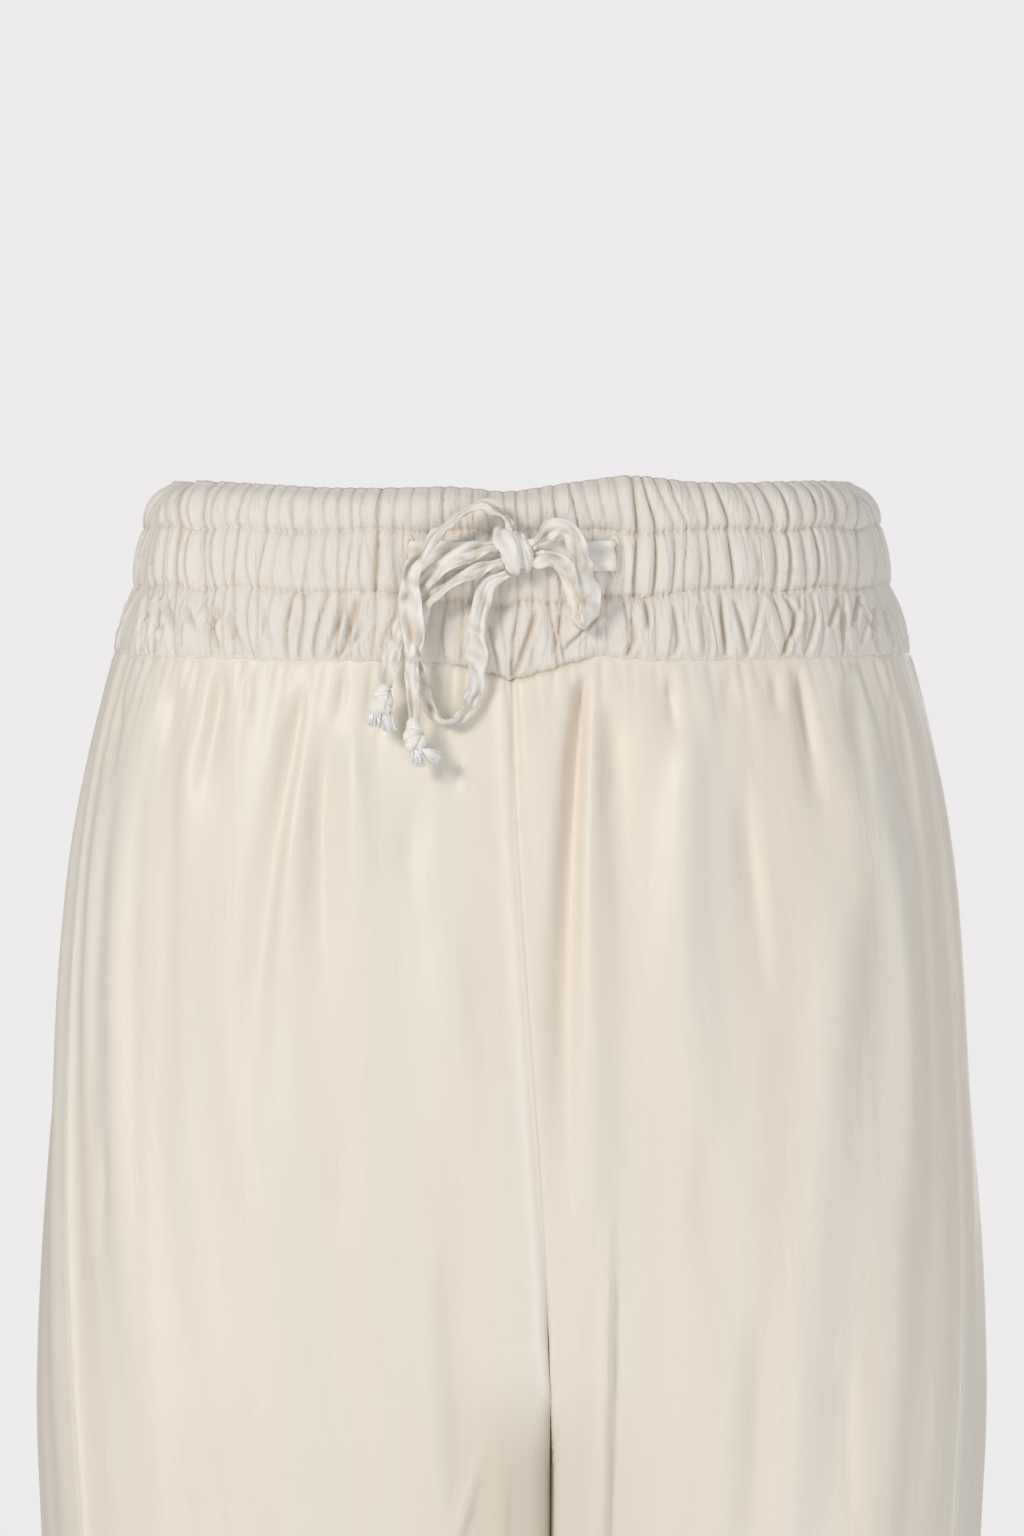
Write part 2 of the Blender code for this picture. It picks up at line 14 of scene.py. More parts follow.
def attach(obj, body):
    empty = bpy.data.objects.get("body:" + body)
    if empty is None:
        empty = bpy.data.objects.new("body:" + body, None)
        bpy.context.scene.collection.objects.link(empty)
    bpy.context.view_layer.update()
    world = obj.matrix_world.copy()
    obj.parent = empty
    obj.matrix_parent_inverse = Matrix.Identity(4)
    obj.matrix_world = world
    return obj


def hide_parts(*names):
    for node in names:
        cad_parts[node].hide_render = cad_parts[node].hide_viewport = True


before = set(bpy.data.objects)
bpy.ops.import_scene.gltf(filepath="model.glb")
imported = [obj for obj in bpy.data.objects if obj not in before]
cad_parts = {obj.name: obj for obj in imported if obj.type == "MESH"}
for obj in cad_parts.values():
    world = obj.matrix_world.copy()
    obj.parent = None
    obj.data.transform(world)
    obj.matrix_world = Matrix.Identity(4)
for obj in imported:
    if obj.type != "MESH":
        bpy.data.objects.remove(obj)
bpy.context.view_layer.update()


# The photographer's camera: level, straight in front of the trousers and a long way off, so that little of the
# picture is drawn together. It looks past the middle of the waistband down to the crotch.
bpy.ops.object.select_all(action="DESELECT")
bpy.ops.object.camera_add(location=(0.0, -3.5, -0.1124), rotation=(math.radians(90.0), 0.0, 0.0))
camera = bpy.context.object
camera.name = "front_camera"
camera.data.sensor_width = 36.0
camera.data.lens = 205.1
bpy.context.scene.camera = camera


# The drawstring: one flat tie of the band's own crepe, sewn into a tube and pressed. It comes out of the two
# buttonholes and is tied in a bow with a long loop, a small loop and two ends. Handling has crumpled it.
def fill(tree, target, inputs):
    """Sets each named socket of a node to a value, or links it to another node's output."""
    for socket, value in inputs.items():
        if isinstance(value, bpy.types.NodeSocket):
            tree.links.new(value, target.inputs[socket])
        else:
            target.inputs[socket].default_value = value
    return target


def node(tree, kind, inputs, **settings):
    """A new shader node of this kind."""
    made = tree.nodes.new("ShaderNode" + kind)
    for name, value in settings.items():
        setattr(made, name, value)
    return fill(tree, made, inputs)


def blend(tree, first, second, share, way="MIX"):
    """Two colours or their outputs, blended by a share."""
    first, second = ((*c, 1.0) if isinstance(c, tuple) else c for c in (first, second))
    inputs = {"A": first, "B": second, "Factor": share}
    return node(tree, "Mix", inputs, data_type="RGBA", blend_type=way).outputs["Result"]


def thread_grain():
    """Slubs along and across a cloth, from a UV map in metres: a tint mask and a height."""
    group = bpy.data.node_groups.new("thread_grain", "ShaderNodeTree")
    for name, way, kind in (
        ("Place", "INPUT", "Vector"),
        ("Threads", "INPUT", "Float"),
        ("Slub Length", "INPUT", "Float"),
        ("Tint", "OUTPUT", "Float"),
        ("Height", "OUTPUT", "Float"),
    ):
        group.interface.new_socket(name, in_out=way, socket_type="NodeSocket" + kind)
    given = group.nodes.new("NodeGroupInput").outputs
    parts = node(group, "SeparateXYZ", {0: given["Place"]}).outputs
    streaks = []
    for long_way, short_way, pattern in (("Y", "X", 0.0), ("X", "Y", 3.0)):
        fine = node(group, "Math", {0: parts[short_way], 1: given["Threads"]}, operation="MULTIPLY")
        drawn = node(group, "Math", {0: parts[long_way], 1: given["Threads"]}, operation="MULTIPLY")
        out = node(group, "Math", {0: drawn.outputs[0], 1: given["Slub Length"]}, operation="DIVIDE")
        place = node(group, "CombineXYZ", {"X": fine.outputs[0], "Y": out.outputs[0], "Z": pattern})
        slub = node(group, "TexNoise", {"Scale": 1.0, "Detail": 2.0, "Vector": place.outputs[0]})
        streaks.append(slub.outputs["Fac"])
    both = node(group, "Math", {0: streaks[1], 1: 0.35, 2: streaks[0]}, operation="MULTIPLY_ADD").outputs[0]
    tint = node(group, "MapRange", {"From Min": 0.40, "From Max": 0.95, "Value": both})
    fill(group, group.nodes.new("NodeGroupOutput"), {"Tint": tint.outputs["Result"], "Height": both})
    return group


grain = thread_grain()


def cloth(name, light, dark, roughness, threads, slub_length, bump, crinkle, crinkle_size, sheen, drift=0.0):
    """A fabric: two tints of its colour along the slubs, and a bump of threads and fine crinkles. The mesh's
    attribute of painted light and shade multiplies in a painted warm shade in its creases, hollows and seams, and a
    painted highlight on its ridges and pressed edges; drift is its broad warm and cool bands."""
    fabric = bpy.data.materials.new(name)
    fabric.use_nodes = True
    tree = fabric.node_tree
    place = node(tree, "UVMap", {}, uv_map="UVMap").outputs["UV"]
    weave = {"Threads": threads, "Slub Length": slub_length, "Place": place}
    woven = fill(tree, node(tree, "Group", {}, node_tree=grain), weave).outputs
    colour = blend(tree, dark, light, woven["Tint"])
    broad = node(tree, "Mapping", {"Scale": (26.0, 3.2, 1.0), "Vector": place})
    bands = node(tree, "TexNoise", {"Scale": 1.0, "Detail": 1.5, "Vector": broad.outputs["Vector"]})
    own = node(tree, "Attribute", {}, attribute_name="painted_light_and_shade").outputs["Fac"]
    plain = (1.0, 1.0, 1.0)
    # The broad bands of drift, then the mesh's painted light and shade: a painted warm shade towards -1 and a
    # painted highlight towards 1.
    for value, start, end, low, high in (
        (bands.outputs["Fac"], 0.38, 0.62, (1.0 - drift, 1.0, 1.0), (1.0 + drift, 1.0, 1.0 - drift)),
        (own, 0.0, -1.0, plain, (0.66, 0.57, 0.46)),
        (own, 0.0, 1.0, plain, (1.12, 1.14, 1.18)),
    ):
        mask = node(tree, "MapRange", {"From Min": start, "From Max": end, "Value": value})
        shade = blend(tree, low, high, mask.outputs["Result"])
        colour = blend(tree, colour, shade, 1.0, "MULTIPLY")
    dull = {"To Min": roughness - 0.04, "To Max": roughness + 0.05, "Value": woven["Tint"]}
    drawn = node(tree, "Mapping", {"Scale": (1.0 / crinkle_size, 0.3 / crinkle_size, 1.0), "Vector": place})
    creased = {"Scale": 1.0, "Detail": 3.0, "Distortion": 0.8, "Vector": drawn.outputs["Vector"]}
    creased = node(tree, "TexNoise", creased).outputs["Fac"]
    soft = node(tree, "Bump", {"Strength": 1.0, "Distance": crinkle, "Height": creased}).outputs["Normal"]
    fine = node(tree, "Bump", {"Strength": 1.0, "Distance": bump, "Height": woven["Height"], "Normal": soft})
    surface = {
        "Base Color": colour,
        "Roughness": node(tree, "MapRange", dull).outputs["Result"],
        "Normal": fine.outputs["Normal"],
        "Sheen Weight": sheen,
        "Sheen Roughness": 0.45,
        "Sheen Tint": (1.0, 0.97, 0.92, 1.0),
    }
    fill(tree, tree.nodes["Principled BSDF"], surface)
    return fabric


tie_crepe = cloth(
    "tie_crepe",
    light=(0.94, 0.905, 0.85),
    dark=(0.90, 0.855, 0.79),
    roughness=0.80,
    threads=1800.0,
    slub_length=5.0,
    bump=0.00004,
    crinkle=0.0010,
    crinkle_size=0.0030,
    sheen=0.15,
)


def grid_cloth(name, places, spans, wall, material, painted_light_values):
    """A grid of points as cloth with a wall. spans holds each point's place along the cloth, in metres, and the
    last array each point's painted light and shade, kept on the mesh: painted shade to -1 and a painted highlight
    to 1."""
    rows, columns = places.shape[:2]
    bpy.ops.object.select_all(action="DESELECT")
    bpy.ops.mesh.primitive_grid_add(x_subdivisions=columns - 1, y_subdivisions=rows - 1, size=1.0)
    piece = bpy.context.object
    piece.name = piece.data.name = name
    piece.data.vertices.foreach_set("co", places.reshape(-1))
    corners = np.zeros(len(piece.data.loops), int)
    piece.data.loops.foreach_get("vertex_index", corners)
    piece.data.uv_layers[0].name = "UVMap"
    piece.data.uv_layers[0].data.foreach_set("uv", spans.reshape(-1, 2)[corners].reshape(-1))
    painted_light_and_shade = piece.data.attributes.new("painted_light_and_shade", "FLOAT", "POINT")
    painted_light_and_shade.data.foreach_set("value", painted_light_values.reshape(-1))
    piece.data.materials.append(material)
    bpy.ops.object.shade_smooth()
    if wall:
        thick = piece.modifiers.new("Wall", "SOLIDIFY")
        thick.thickness = wall
        thick.offset = -1.0
        bpy.ops.object.modifier_apply(modifier=thick.name)
    return piece


def distances_along(points):
    """How far along its line each point lies."""
    return np.concatenate([[0.0], np.cumsum(np.linalg.norm(np.diff(points, axis=0), axis=1))])


def even_route(stops, count):
    """Evenly spaced values along a smooth curve through the stops, all columns together."""
    table = np.array(stops, float)
    ends = np.vstack([2 * table[0] - table[1], table, 2 * table[-1] - table[-2]])
    fine = []
    for i in range(1, len(ends) - 2):
        before, start, end, after = ends[i - 1 : i + 3]
        for t in np.linspace(0.0, 1.0, 12, endpoint=False):
            bend = 2 * before - 5 * start + 4 * end - after
            twist = 3 * start - before - 3 * end + after
            fine.append(0.5 * (2 * start + (end - before) * t + bend * t * t + twist * t**3))
    fine = np.array([*fine, table[-1]])
    along = distances_along(fine[:, :3])
    at = np.linspace(0.0, along[-1], count)
    return np.stack([np.interp(at, along, fine[:, k]) for k in range(table.shape[1])], axis=1), along[-1]


def bell(off, width, power=2):
    """1 in the middle, and falling to nothing past this width, the more squarely the higher the power."""
    return np.exp(-((off / width) ** power))


def crumpled_tie(name, stops, creases, cup=0.0006, ruffle=0.0012, upright=False):
    """A stretch of the tie along its stops (x y z width turn). creases are lengthwise folds of the flat tube:
    their place across it from -1 to 1, how far they drift, their height, and how long their waves are."""
    around, spacing, thick = 28, 0.0009, 0.0011
    length = even_route(stops, 200)[1]
    count = max(24, int(length / spacing))
    line = even_route(stops, count)[0]
    middle = line[:, :3]
    heading = np.gradient(middle, axis=0)
    heading /= np.linalg.norm(heading, axis=1)[:, None]
    level = np.cross(heading, (0.0, -1.0, 0.0))
    level /= np.linalg.norm(level, axis=1)[:, None]
    turn = np.radians(line[:, 4])[:, None]
    across = level * np.cos(turn) + np.cross(heading, level) * np.sin(turn)
    if upright:
        across = np.tile((0.0, 0.0, 1.0), (count, 1)).astype(float)
    face = np.cross(across, heading)
    face /= np.linalg.norm(face, axis=1)[:, None]
    far = np.linspace(0.0, length, count)[:, None]
    ring = np.linspace(0.0, 2.0 * math.pi, around, endpoint=False)
    side = np.sign(np.cos(ring)) * np.abs(np.cos(ring)) ** 0.75
    wide = line[:, 3][:, None]
    depth = (thick + np.maximum(0.0, 0.0105 - wide) * 0.16) / 2.0
    body = depth * np.sign(np.sin(ring)) * np.abs(np.sin(ring)) ** 0.8 * (1.0 - 0.35 * side**4)
    shift = cup * (side**2 - 0.35) * (0.6 + 0.4 * np.sin(far / 0.011 + 1.3))
    # Painted shade, darker in the hollows of the folds, the crossing wrinkles and the crumples.
    hollow_shade = np.zeros((count, around))
    for place, drift, height, wave in creases:
        at = place + drift * np.sin(far / wave + 7.0 * place)
        grown = 0.55 + 0.45 * np.sin(far / (wave * 0.63) + 3.0 * place)
        fold = 2.2 * height * grown * bell(side - at, 0.15)
        shift = shift + fold
        hollow_shade = hollow_shade + 0.7 * np.minimum(0.0, fold) / 0.0010
    edge_wave = np.sin(far / 0.0021 + 1.6 * np.sin(far / 0.005) + 2.0 * np.sign(side))
    shift = shift + ruffle * np.abs(side) ** 2.5 * edge_wave
    loose = ruffle / 0.0009
    drawn_in = 1.0 - loose * (0.09 + 0.09 * np.sin(far / 0.0031 + 1.9 * np.sin(far / 0.0075)))
    crossing = np.sin(far / 0.0026 + 1.1 * side + 2.2 * np.sin(far / 0.0083))
    shift = shift + 0.65 * ruffle * crossing * (0.6 + 0.4 * np.sin(far / 0.012))
    hollow_shade = hollow_shade - 0.40 * loose * np.clip(-crossing - 0.35, 0.0, 1.0)
    chance = random.Random(name)
    for _ in range(int(length / 0.005)):
        place, hollow_side = chance.uniform(0.006, length - 0.006), chance.uniform(-0.7, 0.7)
        long, broad, slant = chance.uniform(0.0016, 0.0036), chance.uniform(0.16, 0.34), chance.uniform(-0.35, 0.35)
        away = (far - place) / long
        off = (side - hollow_side - slant * away) / broad
        hollow = chance.uniform(0.4, 1.0) * loose * np.exp(-(away**2) - off**2)
        shift = shift + chance.choice((-0.0010, 0.0010)) * hollow
        hollow_shade = hollow_shade - 0.40 * hollow
    strays = loose * 0.0004 * np.sin(far / 0.0042 + 1.3 * np.sin(far / 0.0070))
    places = (
        middle[:, None, :]
        + across[:, None, :] * (side * wide / 2.0 * drawn_in + strays)[:, :, None]
        + face[:, None, :] * (body + shift)[:, :, None]
    )
    places = np.concatenate([places, places[:, :1]], axis=1)
    spans = np.stack(np.broadcast_arrays(np.linspace(0.0, 0.024, around + 1)[None, :], far), axis=2)
    painted_light_values = np.clip(np.concatenate([hollow_shade, hollow_shade[:, :1]], axis=1), -1.0, 0.0)
    piece = grid_cloth(name, places, spans, 0.0, tie_crepe, painted_light_values)
    bpy.ops.object.mode_set(mode="EDIT")
    bpy.ops.mesh.select_all(action="SELECT")
    bpy.ops.mesh.remove_doubles(threshold=0.000001)
    bpy.ops.mesh.select_all(action="DESELECT")
    bpy.ops.mesh.select_non_manifold()
    bpy.ops.mesh.fill_holes(sides=0)
    bpy.ops.mesh.select_all(action="SELECT")
    bpy.ops.mesh.normals_make_consistent(inside=False)
    bpy.ops.object.mode_set(mode="OBJECT")
    return piece, middle


hole_x, hole_z = 0.0398, -0.0302


def flat_stretch(side, knot_side):
    """From inside a buttonhole, flat along the band, to the side of the knot."""
    return (
        (side * hole_x, -0.1030, hole_z, 0.0120, 0),
        (side * hole_x, -0.1064, hole_z, 0.0120, 0),
        (side * (hole_x - 0.0012), -0.1082, hole_z, 0.0120, 0),
        (side * (hole_x - 0.0045), -0.1081, hole_z, 0.0120, 0),
        (side * 0.0290, -0.1085, hole_z, 0.0120, 0),
        (side * 0.0170, -0.1091, hole_z + 0.0004, 0.0110, 0),
        (knot_side, -0.1096, hole_z + 0.0010, 0.0070, 0),
    )


flat_creases = ((0.45, 0.05, -0.00035, 0.012), (-0.55, 0.08, 0.0003, 0.009))
pressed_flat = {"cup": 0.0001, "ruffle": 0.0001, "upright": True}
flat_stretches = []
for word, side, knot_side in (("left", 1, 0.0075), ("right", -1, -0.0037)):
    stops = flat_stretch(side, knot_side)
    flat = crumpled_tie(f"tie_from_{word}_buttonhole", stops, flat_creases, **pressed_flat)[0]
    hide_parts(f"tape_{word}_of_knot")
    flat_stretches.append(flat)

hanging_loop, hanging_line = crumpled_tie(
    "bow_long_loop",
    (
        (-0.0006, -0.1141, -0.0194, 0.0040, 30), (-0.0060, -0.1142, -0.0128, 0.0050, 50),
        (-0.0120, -0.1145, -0.0103, 0.0056, 45), (-0.0208, -0.1151, -0.0148, 0.0053, 30),
        (-0.0292, -0.1163, -0.0228, 0.0050, 20), (-0.0352, -0.1184, -0.0302, 0.0054, 10),
        (-0.0386, -0.1203, -0.0375, 0.0088, 4), (-0.0394, -0.1211, -0.0475, 0.0100, 2),
        (-0.0388, -0.1207, -0.0580, 0.0094, 4), (-0.0372, -0.1191, -0.0690, 0.0066, 10),
        (-0.0352, -0.1177, -0.0790, 0.0064, 20), (-0.0322, -0.1181, -0.0880, 0.0068, 45),
        (-0.0278, -0.1191, -0.0934, 0.0070, 60), (-0.0222, -0.1195, -0.0940, 0.0070, 65),
        (-0.0174, -0.1187, -0.0892, 0.0082, 50), (-0.0143, -0.1177, -0.0807, 0.0090, 30),
        (-0.0131, -0.1163, -0.0668, 0.0092, 15), (-0.0131, -0.1153, -0.0536, 0.0084, 10),
        (-0.0100, -0.1144, -0.0428, 0.0070, 10), (-0.0020, -0.1140, -0.0367, 0.0045, 10),
    ),
    ((-0.35, 0.18, 0.0006, 0.013), (0.30, 0.15, -0.0005, 0.010), (0.72, 0.08, 0.0004, 0.007)),
)
small_loop, small_line = crumpled_tie(
    "bow_small_loop",
    (
        (0.0070, -0.1153, -0.0262, 0.0050, 20), (0.0110, -0.1165, -0.0225, 0.0065, 35),
        (0.0165, -0.1175, -0.0195, 0.0070, 30), (0.0215, -0.1181, -0.0205, 0.0080, 5),
        (0.0250, -0.1183, -0.0275, 0.0100, -20), (0.0282, -0.1184, -0.0370, 0.0116, -35),
        (0.0300, -0.1182, -0.0465, 0.0112, -40), (0.0300, -0.1175, -0.0535, 0.0085, -50),
        (0.0275, -0.1164, -0.0578, 0.0060, -65), (0.0255, -0.1154, -0.0530, 0.0065, -40),
        (0.0245, -0.1147, -0.0440, 0.0075, -20), (0.0220, -0.1142, -0.0365, 0.0080, -5),
        (0.0170, -0.1139, -0.0325, 0.0080, 8), (0.0110, -0.1139, -0.0315, 0.0075, 8),
        (0.0065, -0.1137, -0.0312, 0.0050, 10),
    ),
    ((-0.25, 0.15, 0.0006, 0.011), (0.40, 0.12, -0.0005, 0.008)),
)
short_end, short_line = crumpled_tie(
    "tie_short_end",
    (
        (-0.0054, -0.1144, -0.0268, 0.0050, 5), (-0.0162, -0.1158, -0.0288, 0.0080, 8),
        (-0.0259, -0.1161, -0.0331, 0.0090, 10), (-0.0340, -0.1161, -0.0409, 0.0085, 12),
        (-0.0398, -0.1163, -0.0532, 0.0078, 15), (-0.0462, -0.1173, -0.0687, 0.0078, 15),
        (-0.0489, -0.1225, -0.0808, 0.0042, 10),
    ),
    ((-0.40, 0.16, 0.0006, 0.012), (0.20, 0.18, -0.0006, 0.009), (0.65, 0.10, 0.0004, 0.008)),
)
long_end, long_line = crumpled_tie(
    "tie_long_end",
    (
        (-0.0036, -0.1155, -0.0333, 0.0045, 10), (-0.0162, -0.1178, -0.0368, 0.0054, 12),
        (-0.0259, -0.1181, -0.0424, 0.0056, 14), (-0.0330, -0.1181, -0.0490, 0.0062, 14),
        (-0.0366, -0.1184, -0.0598, 0.0074, 8), (-0.0382, -0.1206, -0.0705, 0.0072, 6),
        (-0.0386, -0.1249, -0.0810, 0.0056, 6), (-0.0380, -0.1249, -0.0946, 0.0040, 5),
    ),
    ((-0.20, 0.20, 0.0007, 0.012), (0.45, 0.12, -0.0005, 0.009)),
)
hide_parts("bow_loop_hanging")
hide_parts("bow_loop_small")
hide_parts("tape_end_short")
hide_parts("tape_end_long")


# The knots: the tie's upright wrap in the middle of the bow, and a plain knot at each end with a short frayed
# tip on either side of it. They are pulled tight, so the cloth lies in small pinched folds.
def knotted(name, lumps, pinches, home):
    """Rounded lumps of tied cloth grown into one, with pinched folds. lumps: place, radii, tilt in degrees.
    pinches: a point on the fold, its direction across, and its depth and width."""
    made = []
    for place, radii, tilt in lumps:
        bpy.ops.object.select_all(action="DESELECT")
        bpy.ops.mesh.primitive_uv_sphere_add(segments=32, ring_count=20, radius=1.0)
        lump = bpy.context.object
        lump.data.transform(Matrix.Diagonal((*radii, 1.0)))
        lump.data.transform(Matrix.Rotation(math.radians(tilt), 4, "Y"))
        lump.data.transform(Matrix.Translation(Vector(home) + Vector(place)))
        made.append(lump)
    bpy.ops.object.select_all(action="DESELECT")
    for lump in made:
        lump.select_set(True)
    bpy.context.view_layer.objects.active = made[0]
    bpy.ops.object.join()
    knot = bpy.context.object
    knot.name = knot.data.name = name
    grown = knot.modifiers.new("One piece", "REMESH")
    grown.mode = "VOXEL"
    grown.voxel_size = 0.00035
    bpy.ops.object.modifier_apply(modifier=grown.name)
    eased_off = knot.modifiers.new("Soft", "SMOOTH")
    eased_off.factor = 0.5
    eased_off.iterations = 6
    bpy.ops.object.modifier_apply(modifier=eased_off.name)
    count = len(knot.data.vertices)
    at, out = np.zeros(count * 3), np.zeros(count * 3)
    knot.data.vertices.foreach_get("co", at)
    knot.data.vertices.foreach_get("normal", out)
    at, out = at.reshape(-1, 3), out.reshape(-1, 3)
    local = at - np.array(home)
    push = np.zeros(count)
    for point, direction, depth, width in pinches:
        direction = np.array(direction, float) / np.linalg.norm(direction)
        off = (local - np.array(point)) @ direction
        push -= depth * bell(off, width) * (out[:, 1] < 0.3)
    at = at + out * push[:, None]
    knot.data.vertices.foreach_set("co", at.reshape(-1))
    knot.data.materials.clear()
    knot.data.materials.append(tie_crepe)
    if not knot.data.uv_layers:
        knot.data.uv_layers.new(name="UVMap")
    corners = np.zeros(len(knot.data.loops), int)
    knot.data.loops.foreach_get("vertex_index", corners)
    knot.data.uv_layers[0].data.foreach_set("uv", at[:, [0, 2]][corners].reshape(-1))
    bpy.ops.object.shade_smooth()
    return knot


bow_wrap = knotted(
    "bow_wrap",
    (
        ((-0.0016, -0.0012, 0.0002), (0.0047, 0.0050, 0.0093), -6),
        ((0.0032, 0.0004, -0.0004), (0.0034, 0.0048, 0.0078), -10),
        ((0.0, 0.0020, 0.0012), (0.0052, 0.0036, 0.0062), 0),
    ),
    (
        ((0.0012, 0.0, 0.0), (1.0, 0.0, 0.22), 0.0007, 0.0006),
        ((0.0042, 0.0, 0.0), (1.0, 0.0, 0.30), 0.0005, 0.0005),
        ((-0.0034, 0.0, -0.001), (1.0, 0.0, -0.30), 0.0004, 0.0006),
        ((-0.0008, 0.0, 0.0075), (0.5, 0.0, 1.0), 0.0004, 0.0007),
    ),
    (0.0016, -0.1143, -0.0285),
)
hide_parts("bow_knot")
front_wrap = crumpled_tie(
    "bow_wrap_front",
    (
        (-0.0034, -0.1120, -0.0208, 0.0060, 0), (-0.0036, -0.1168, -0.0214, 0.0084, 0),
        (-0.0028, -0.1196, -0.0238, 0.0096, -8), (-0.0008, -0.1206, -0.0275, 0.0088, -10),
        (0.0006, -0.1200, -0.0325, 0.0064, -8), (0.0014, -0.1176, -0.0364, 0.0036, 0),
        (0.0016, -0.1130, -0.0372, 0.0030, 0),
    ),
    ((0.35, 0.10, -0.00035, 0.008), (-0.45, 0.10, 0.0004, 0.006)),
    cup=-0.0009,
    ruffle=0.0003,
)[0]
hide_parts("bow_knot")
short_knot_at, long_knot_at = (-0.0503, -0.1240, -0.0872), (-0.0377, -0.1253, -0.1009)
short_knot = knotted(
    "short_end_knot",
    (
        ((0.0, 0.0, 0.0), (0.0047, 0.0044, 0.0056), 0),
        ((-0.0006, -0.0006, -0.0018), (0.0043, 0.0042, 0.0034), 24),
        ((0.0010, 0.0, 0.0040), (0.0030, 0.0030, 0.0036), -10),
    ),
    (
        ((0.0, 0.0, 0.0006), (0.45, 0.0, 1.0), 0.0011, 0.0006),
        ((0.0, 0.0, 0.0036), (-0.30, 0.0, 1.0), 0.0009, 0.0006),
        ((-0.0012, 0.0, -0.0030), (1.0, 0.0, 0.6), 0.0009, 0.0006),
        ((0.0022, 0.0, -0.0010), (1.0, 0.0, -0.3), 0.0006, 0.0005),
    ),
    short_knot_at,
)
long_knot = knotted(
    "long_end_knot",
    (
        ((0.0, 0.0, 0.0), (0.0044, 0.0044, 0.0060), 0),
        ((0.0008, -0.0006, -0.0016), (0.0042, 0.0042, 0.0034), -28),
        ((-0.0006, 0.0, 0.0044), (0.0028, 0.0028, 0.0038), 8),
    ),
    (
        ((0.0, 0.0, 0.0006), (-0.55, 0.0, 1.0), 0.0011, 0.0006),
        ((0.0016, 0.0, -0.0024), (1.0, 0.0, -0.5), 0.0012, 0.0007),
        ((0.0, 0.0, 0.0040), (0.25, 0.0, 1.0), 0.0009, 0.0006),
        ((-0.0020, 0.0, -0.0008), (1.0, 0.0, 0.35), 0.0006, 0.0005),
    ),
    long_knot_at,
)


def thread_colour(name, dark, light, specks, roughness, sheen=0.0):
    """Thread that is seen by itself: two tints in fine specks."""
    thread = bpy.data.materials.new(name)
    thread.use_nodes = True
    tree = thread.node_tree
    place = node(tree, "TexCoord", {}).outputs["Object"]
    specked = node(tree, "TexNoise", {"Scale": specks, "Vector": place}).outputs["Fac"]
    surface = {"Base Color": blend(tree, dark, light, specked), "Roughness": roughness, "Sheen Weight": sheen}
    fill(tree, tree.nodes["Principled BSDF"], surface)
    return thread


frayed = thread_colour("frayed_threads", (0.92, 0.91, 0.89), (0.99, 0.985, 0.98), specks=1400.0, roughness=0.85)


def copies_of(template, name, settings, material):
    """One mesh of many copies of a small modelled piece, each set by its own matrix."""
    count = len(template.data.vertices)
    base = np.zeros(count * 3)
    template.data.vertices.foreach_get("co", base)
    base = np.c_[base.reshape(-1, 3), np.ones(count)]
    faces = [tuple(f.vertices) for f in template.data.polygons]
    points = np.concatenate([(base @ np.array(m).T)[:, :3] for m in settings])
    everywhere = [tuple(v + i * count for v in f) for i in range(len(settings)) for f in faces]
    mesh = bpy.data.meshes.new(name)
    mesh.from_pydata(points.tolist(), [], everywhere)
    mesh.materials.append(material)
    mesh.shade_smooth()
    piece = bpy.data.objects.new(name, mesh)
    bpy.context.scene.collection.objects.link(piece)
    return piece


bpy.ops.object.select_all(action="DESELECT")
bpy.ops.mesh.primitive_cone_add(vertices=5, radius1=0.00034, radius2=0.00026, depth=1.0, end_fill_type="NGON")
one_thread = bpy.context.object
one_thread.data.transform(Matrix.Translation((0.0, 0.0, 0.5)))
chance = random.Random(11)
tips = {}
for tip_name, knot_at, ways in (
    ("short_end_fray", short_knot_at, ((-0.0020, -0.22, 0.0056), (0.0014, 0.20, 0.0080))),
    ("long_end_fray", long_knot_at, ((0.0014, 0.02, 0.0074), (0.0026, 0.95, 0.0082))),
):
    settings = []
    for start_x, lean, reach in ways:
        for _ in range(60):
            tilt = Matrix.Rotation(math.pi - lean + chance.gauss(0.0, 0.13), 4, "Y")
            spread = Matrix.Rotation(chance.gauss(0.0, 0.16), 4, "X")
            home = Vector(knot_at) + Vector(
                (start_x + chance.gauss(0.0, 0.0009), chance.gauss(-0.0004, 0.0009), -0.0034)
            )
            size = Matrix.Diagonal((1.0, 1.0, reach * chance.uniform(0.75, 1.1), 1.0))
            settings.append(Matrix.Translation(home) @ tilt @ spread @ size)
    tips[tip_name] = copies_of(one_thread, tip_name, settings, frayed)
bpy.data.objects.remove(one_thread)
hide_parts("end_knot_short")
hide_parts("end_knot_long")

tie_pieces = [*flat_stretches, hanging_loop, small_loop, short_end, long_end]
for piece in [*tie_pieces, front_wrap, bow_wrap, short_knot, long_knot, *tips.values()]:
    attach(piece, "root")


# The waistband: a strip of matt crepe, folded over elastic at the top and drawn in by two rows of stitching, so
# that it stands in three gathered tiers. It is cut in a front and a back half, joined at the sides.
band_crepe = cloth(
    "band_crepe",
    light=(0.86, 0.80, 0.725),
    dark=(0.82, 0.76, 0.68),
    roughness=0.82,
    threads=1500.0,
    slub_length=6.0,
    bump=0.00004,
    crinkle=0.0012,
    crinkle_size=0.0042,
    sheen=0.12,
)


def eased(share):
    """A share from 0 to 1, slow at both ends."""
    share = np.clip(share, 0.0, 1.0)
    return share * share * (3.0 - 2.0 * share)


# The power of the body's oval: 2 is a plain oval, and a higher one is nearer a box.
squareness = 2.4


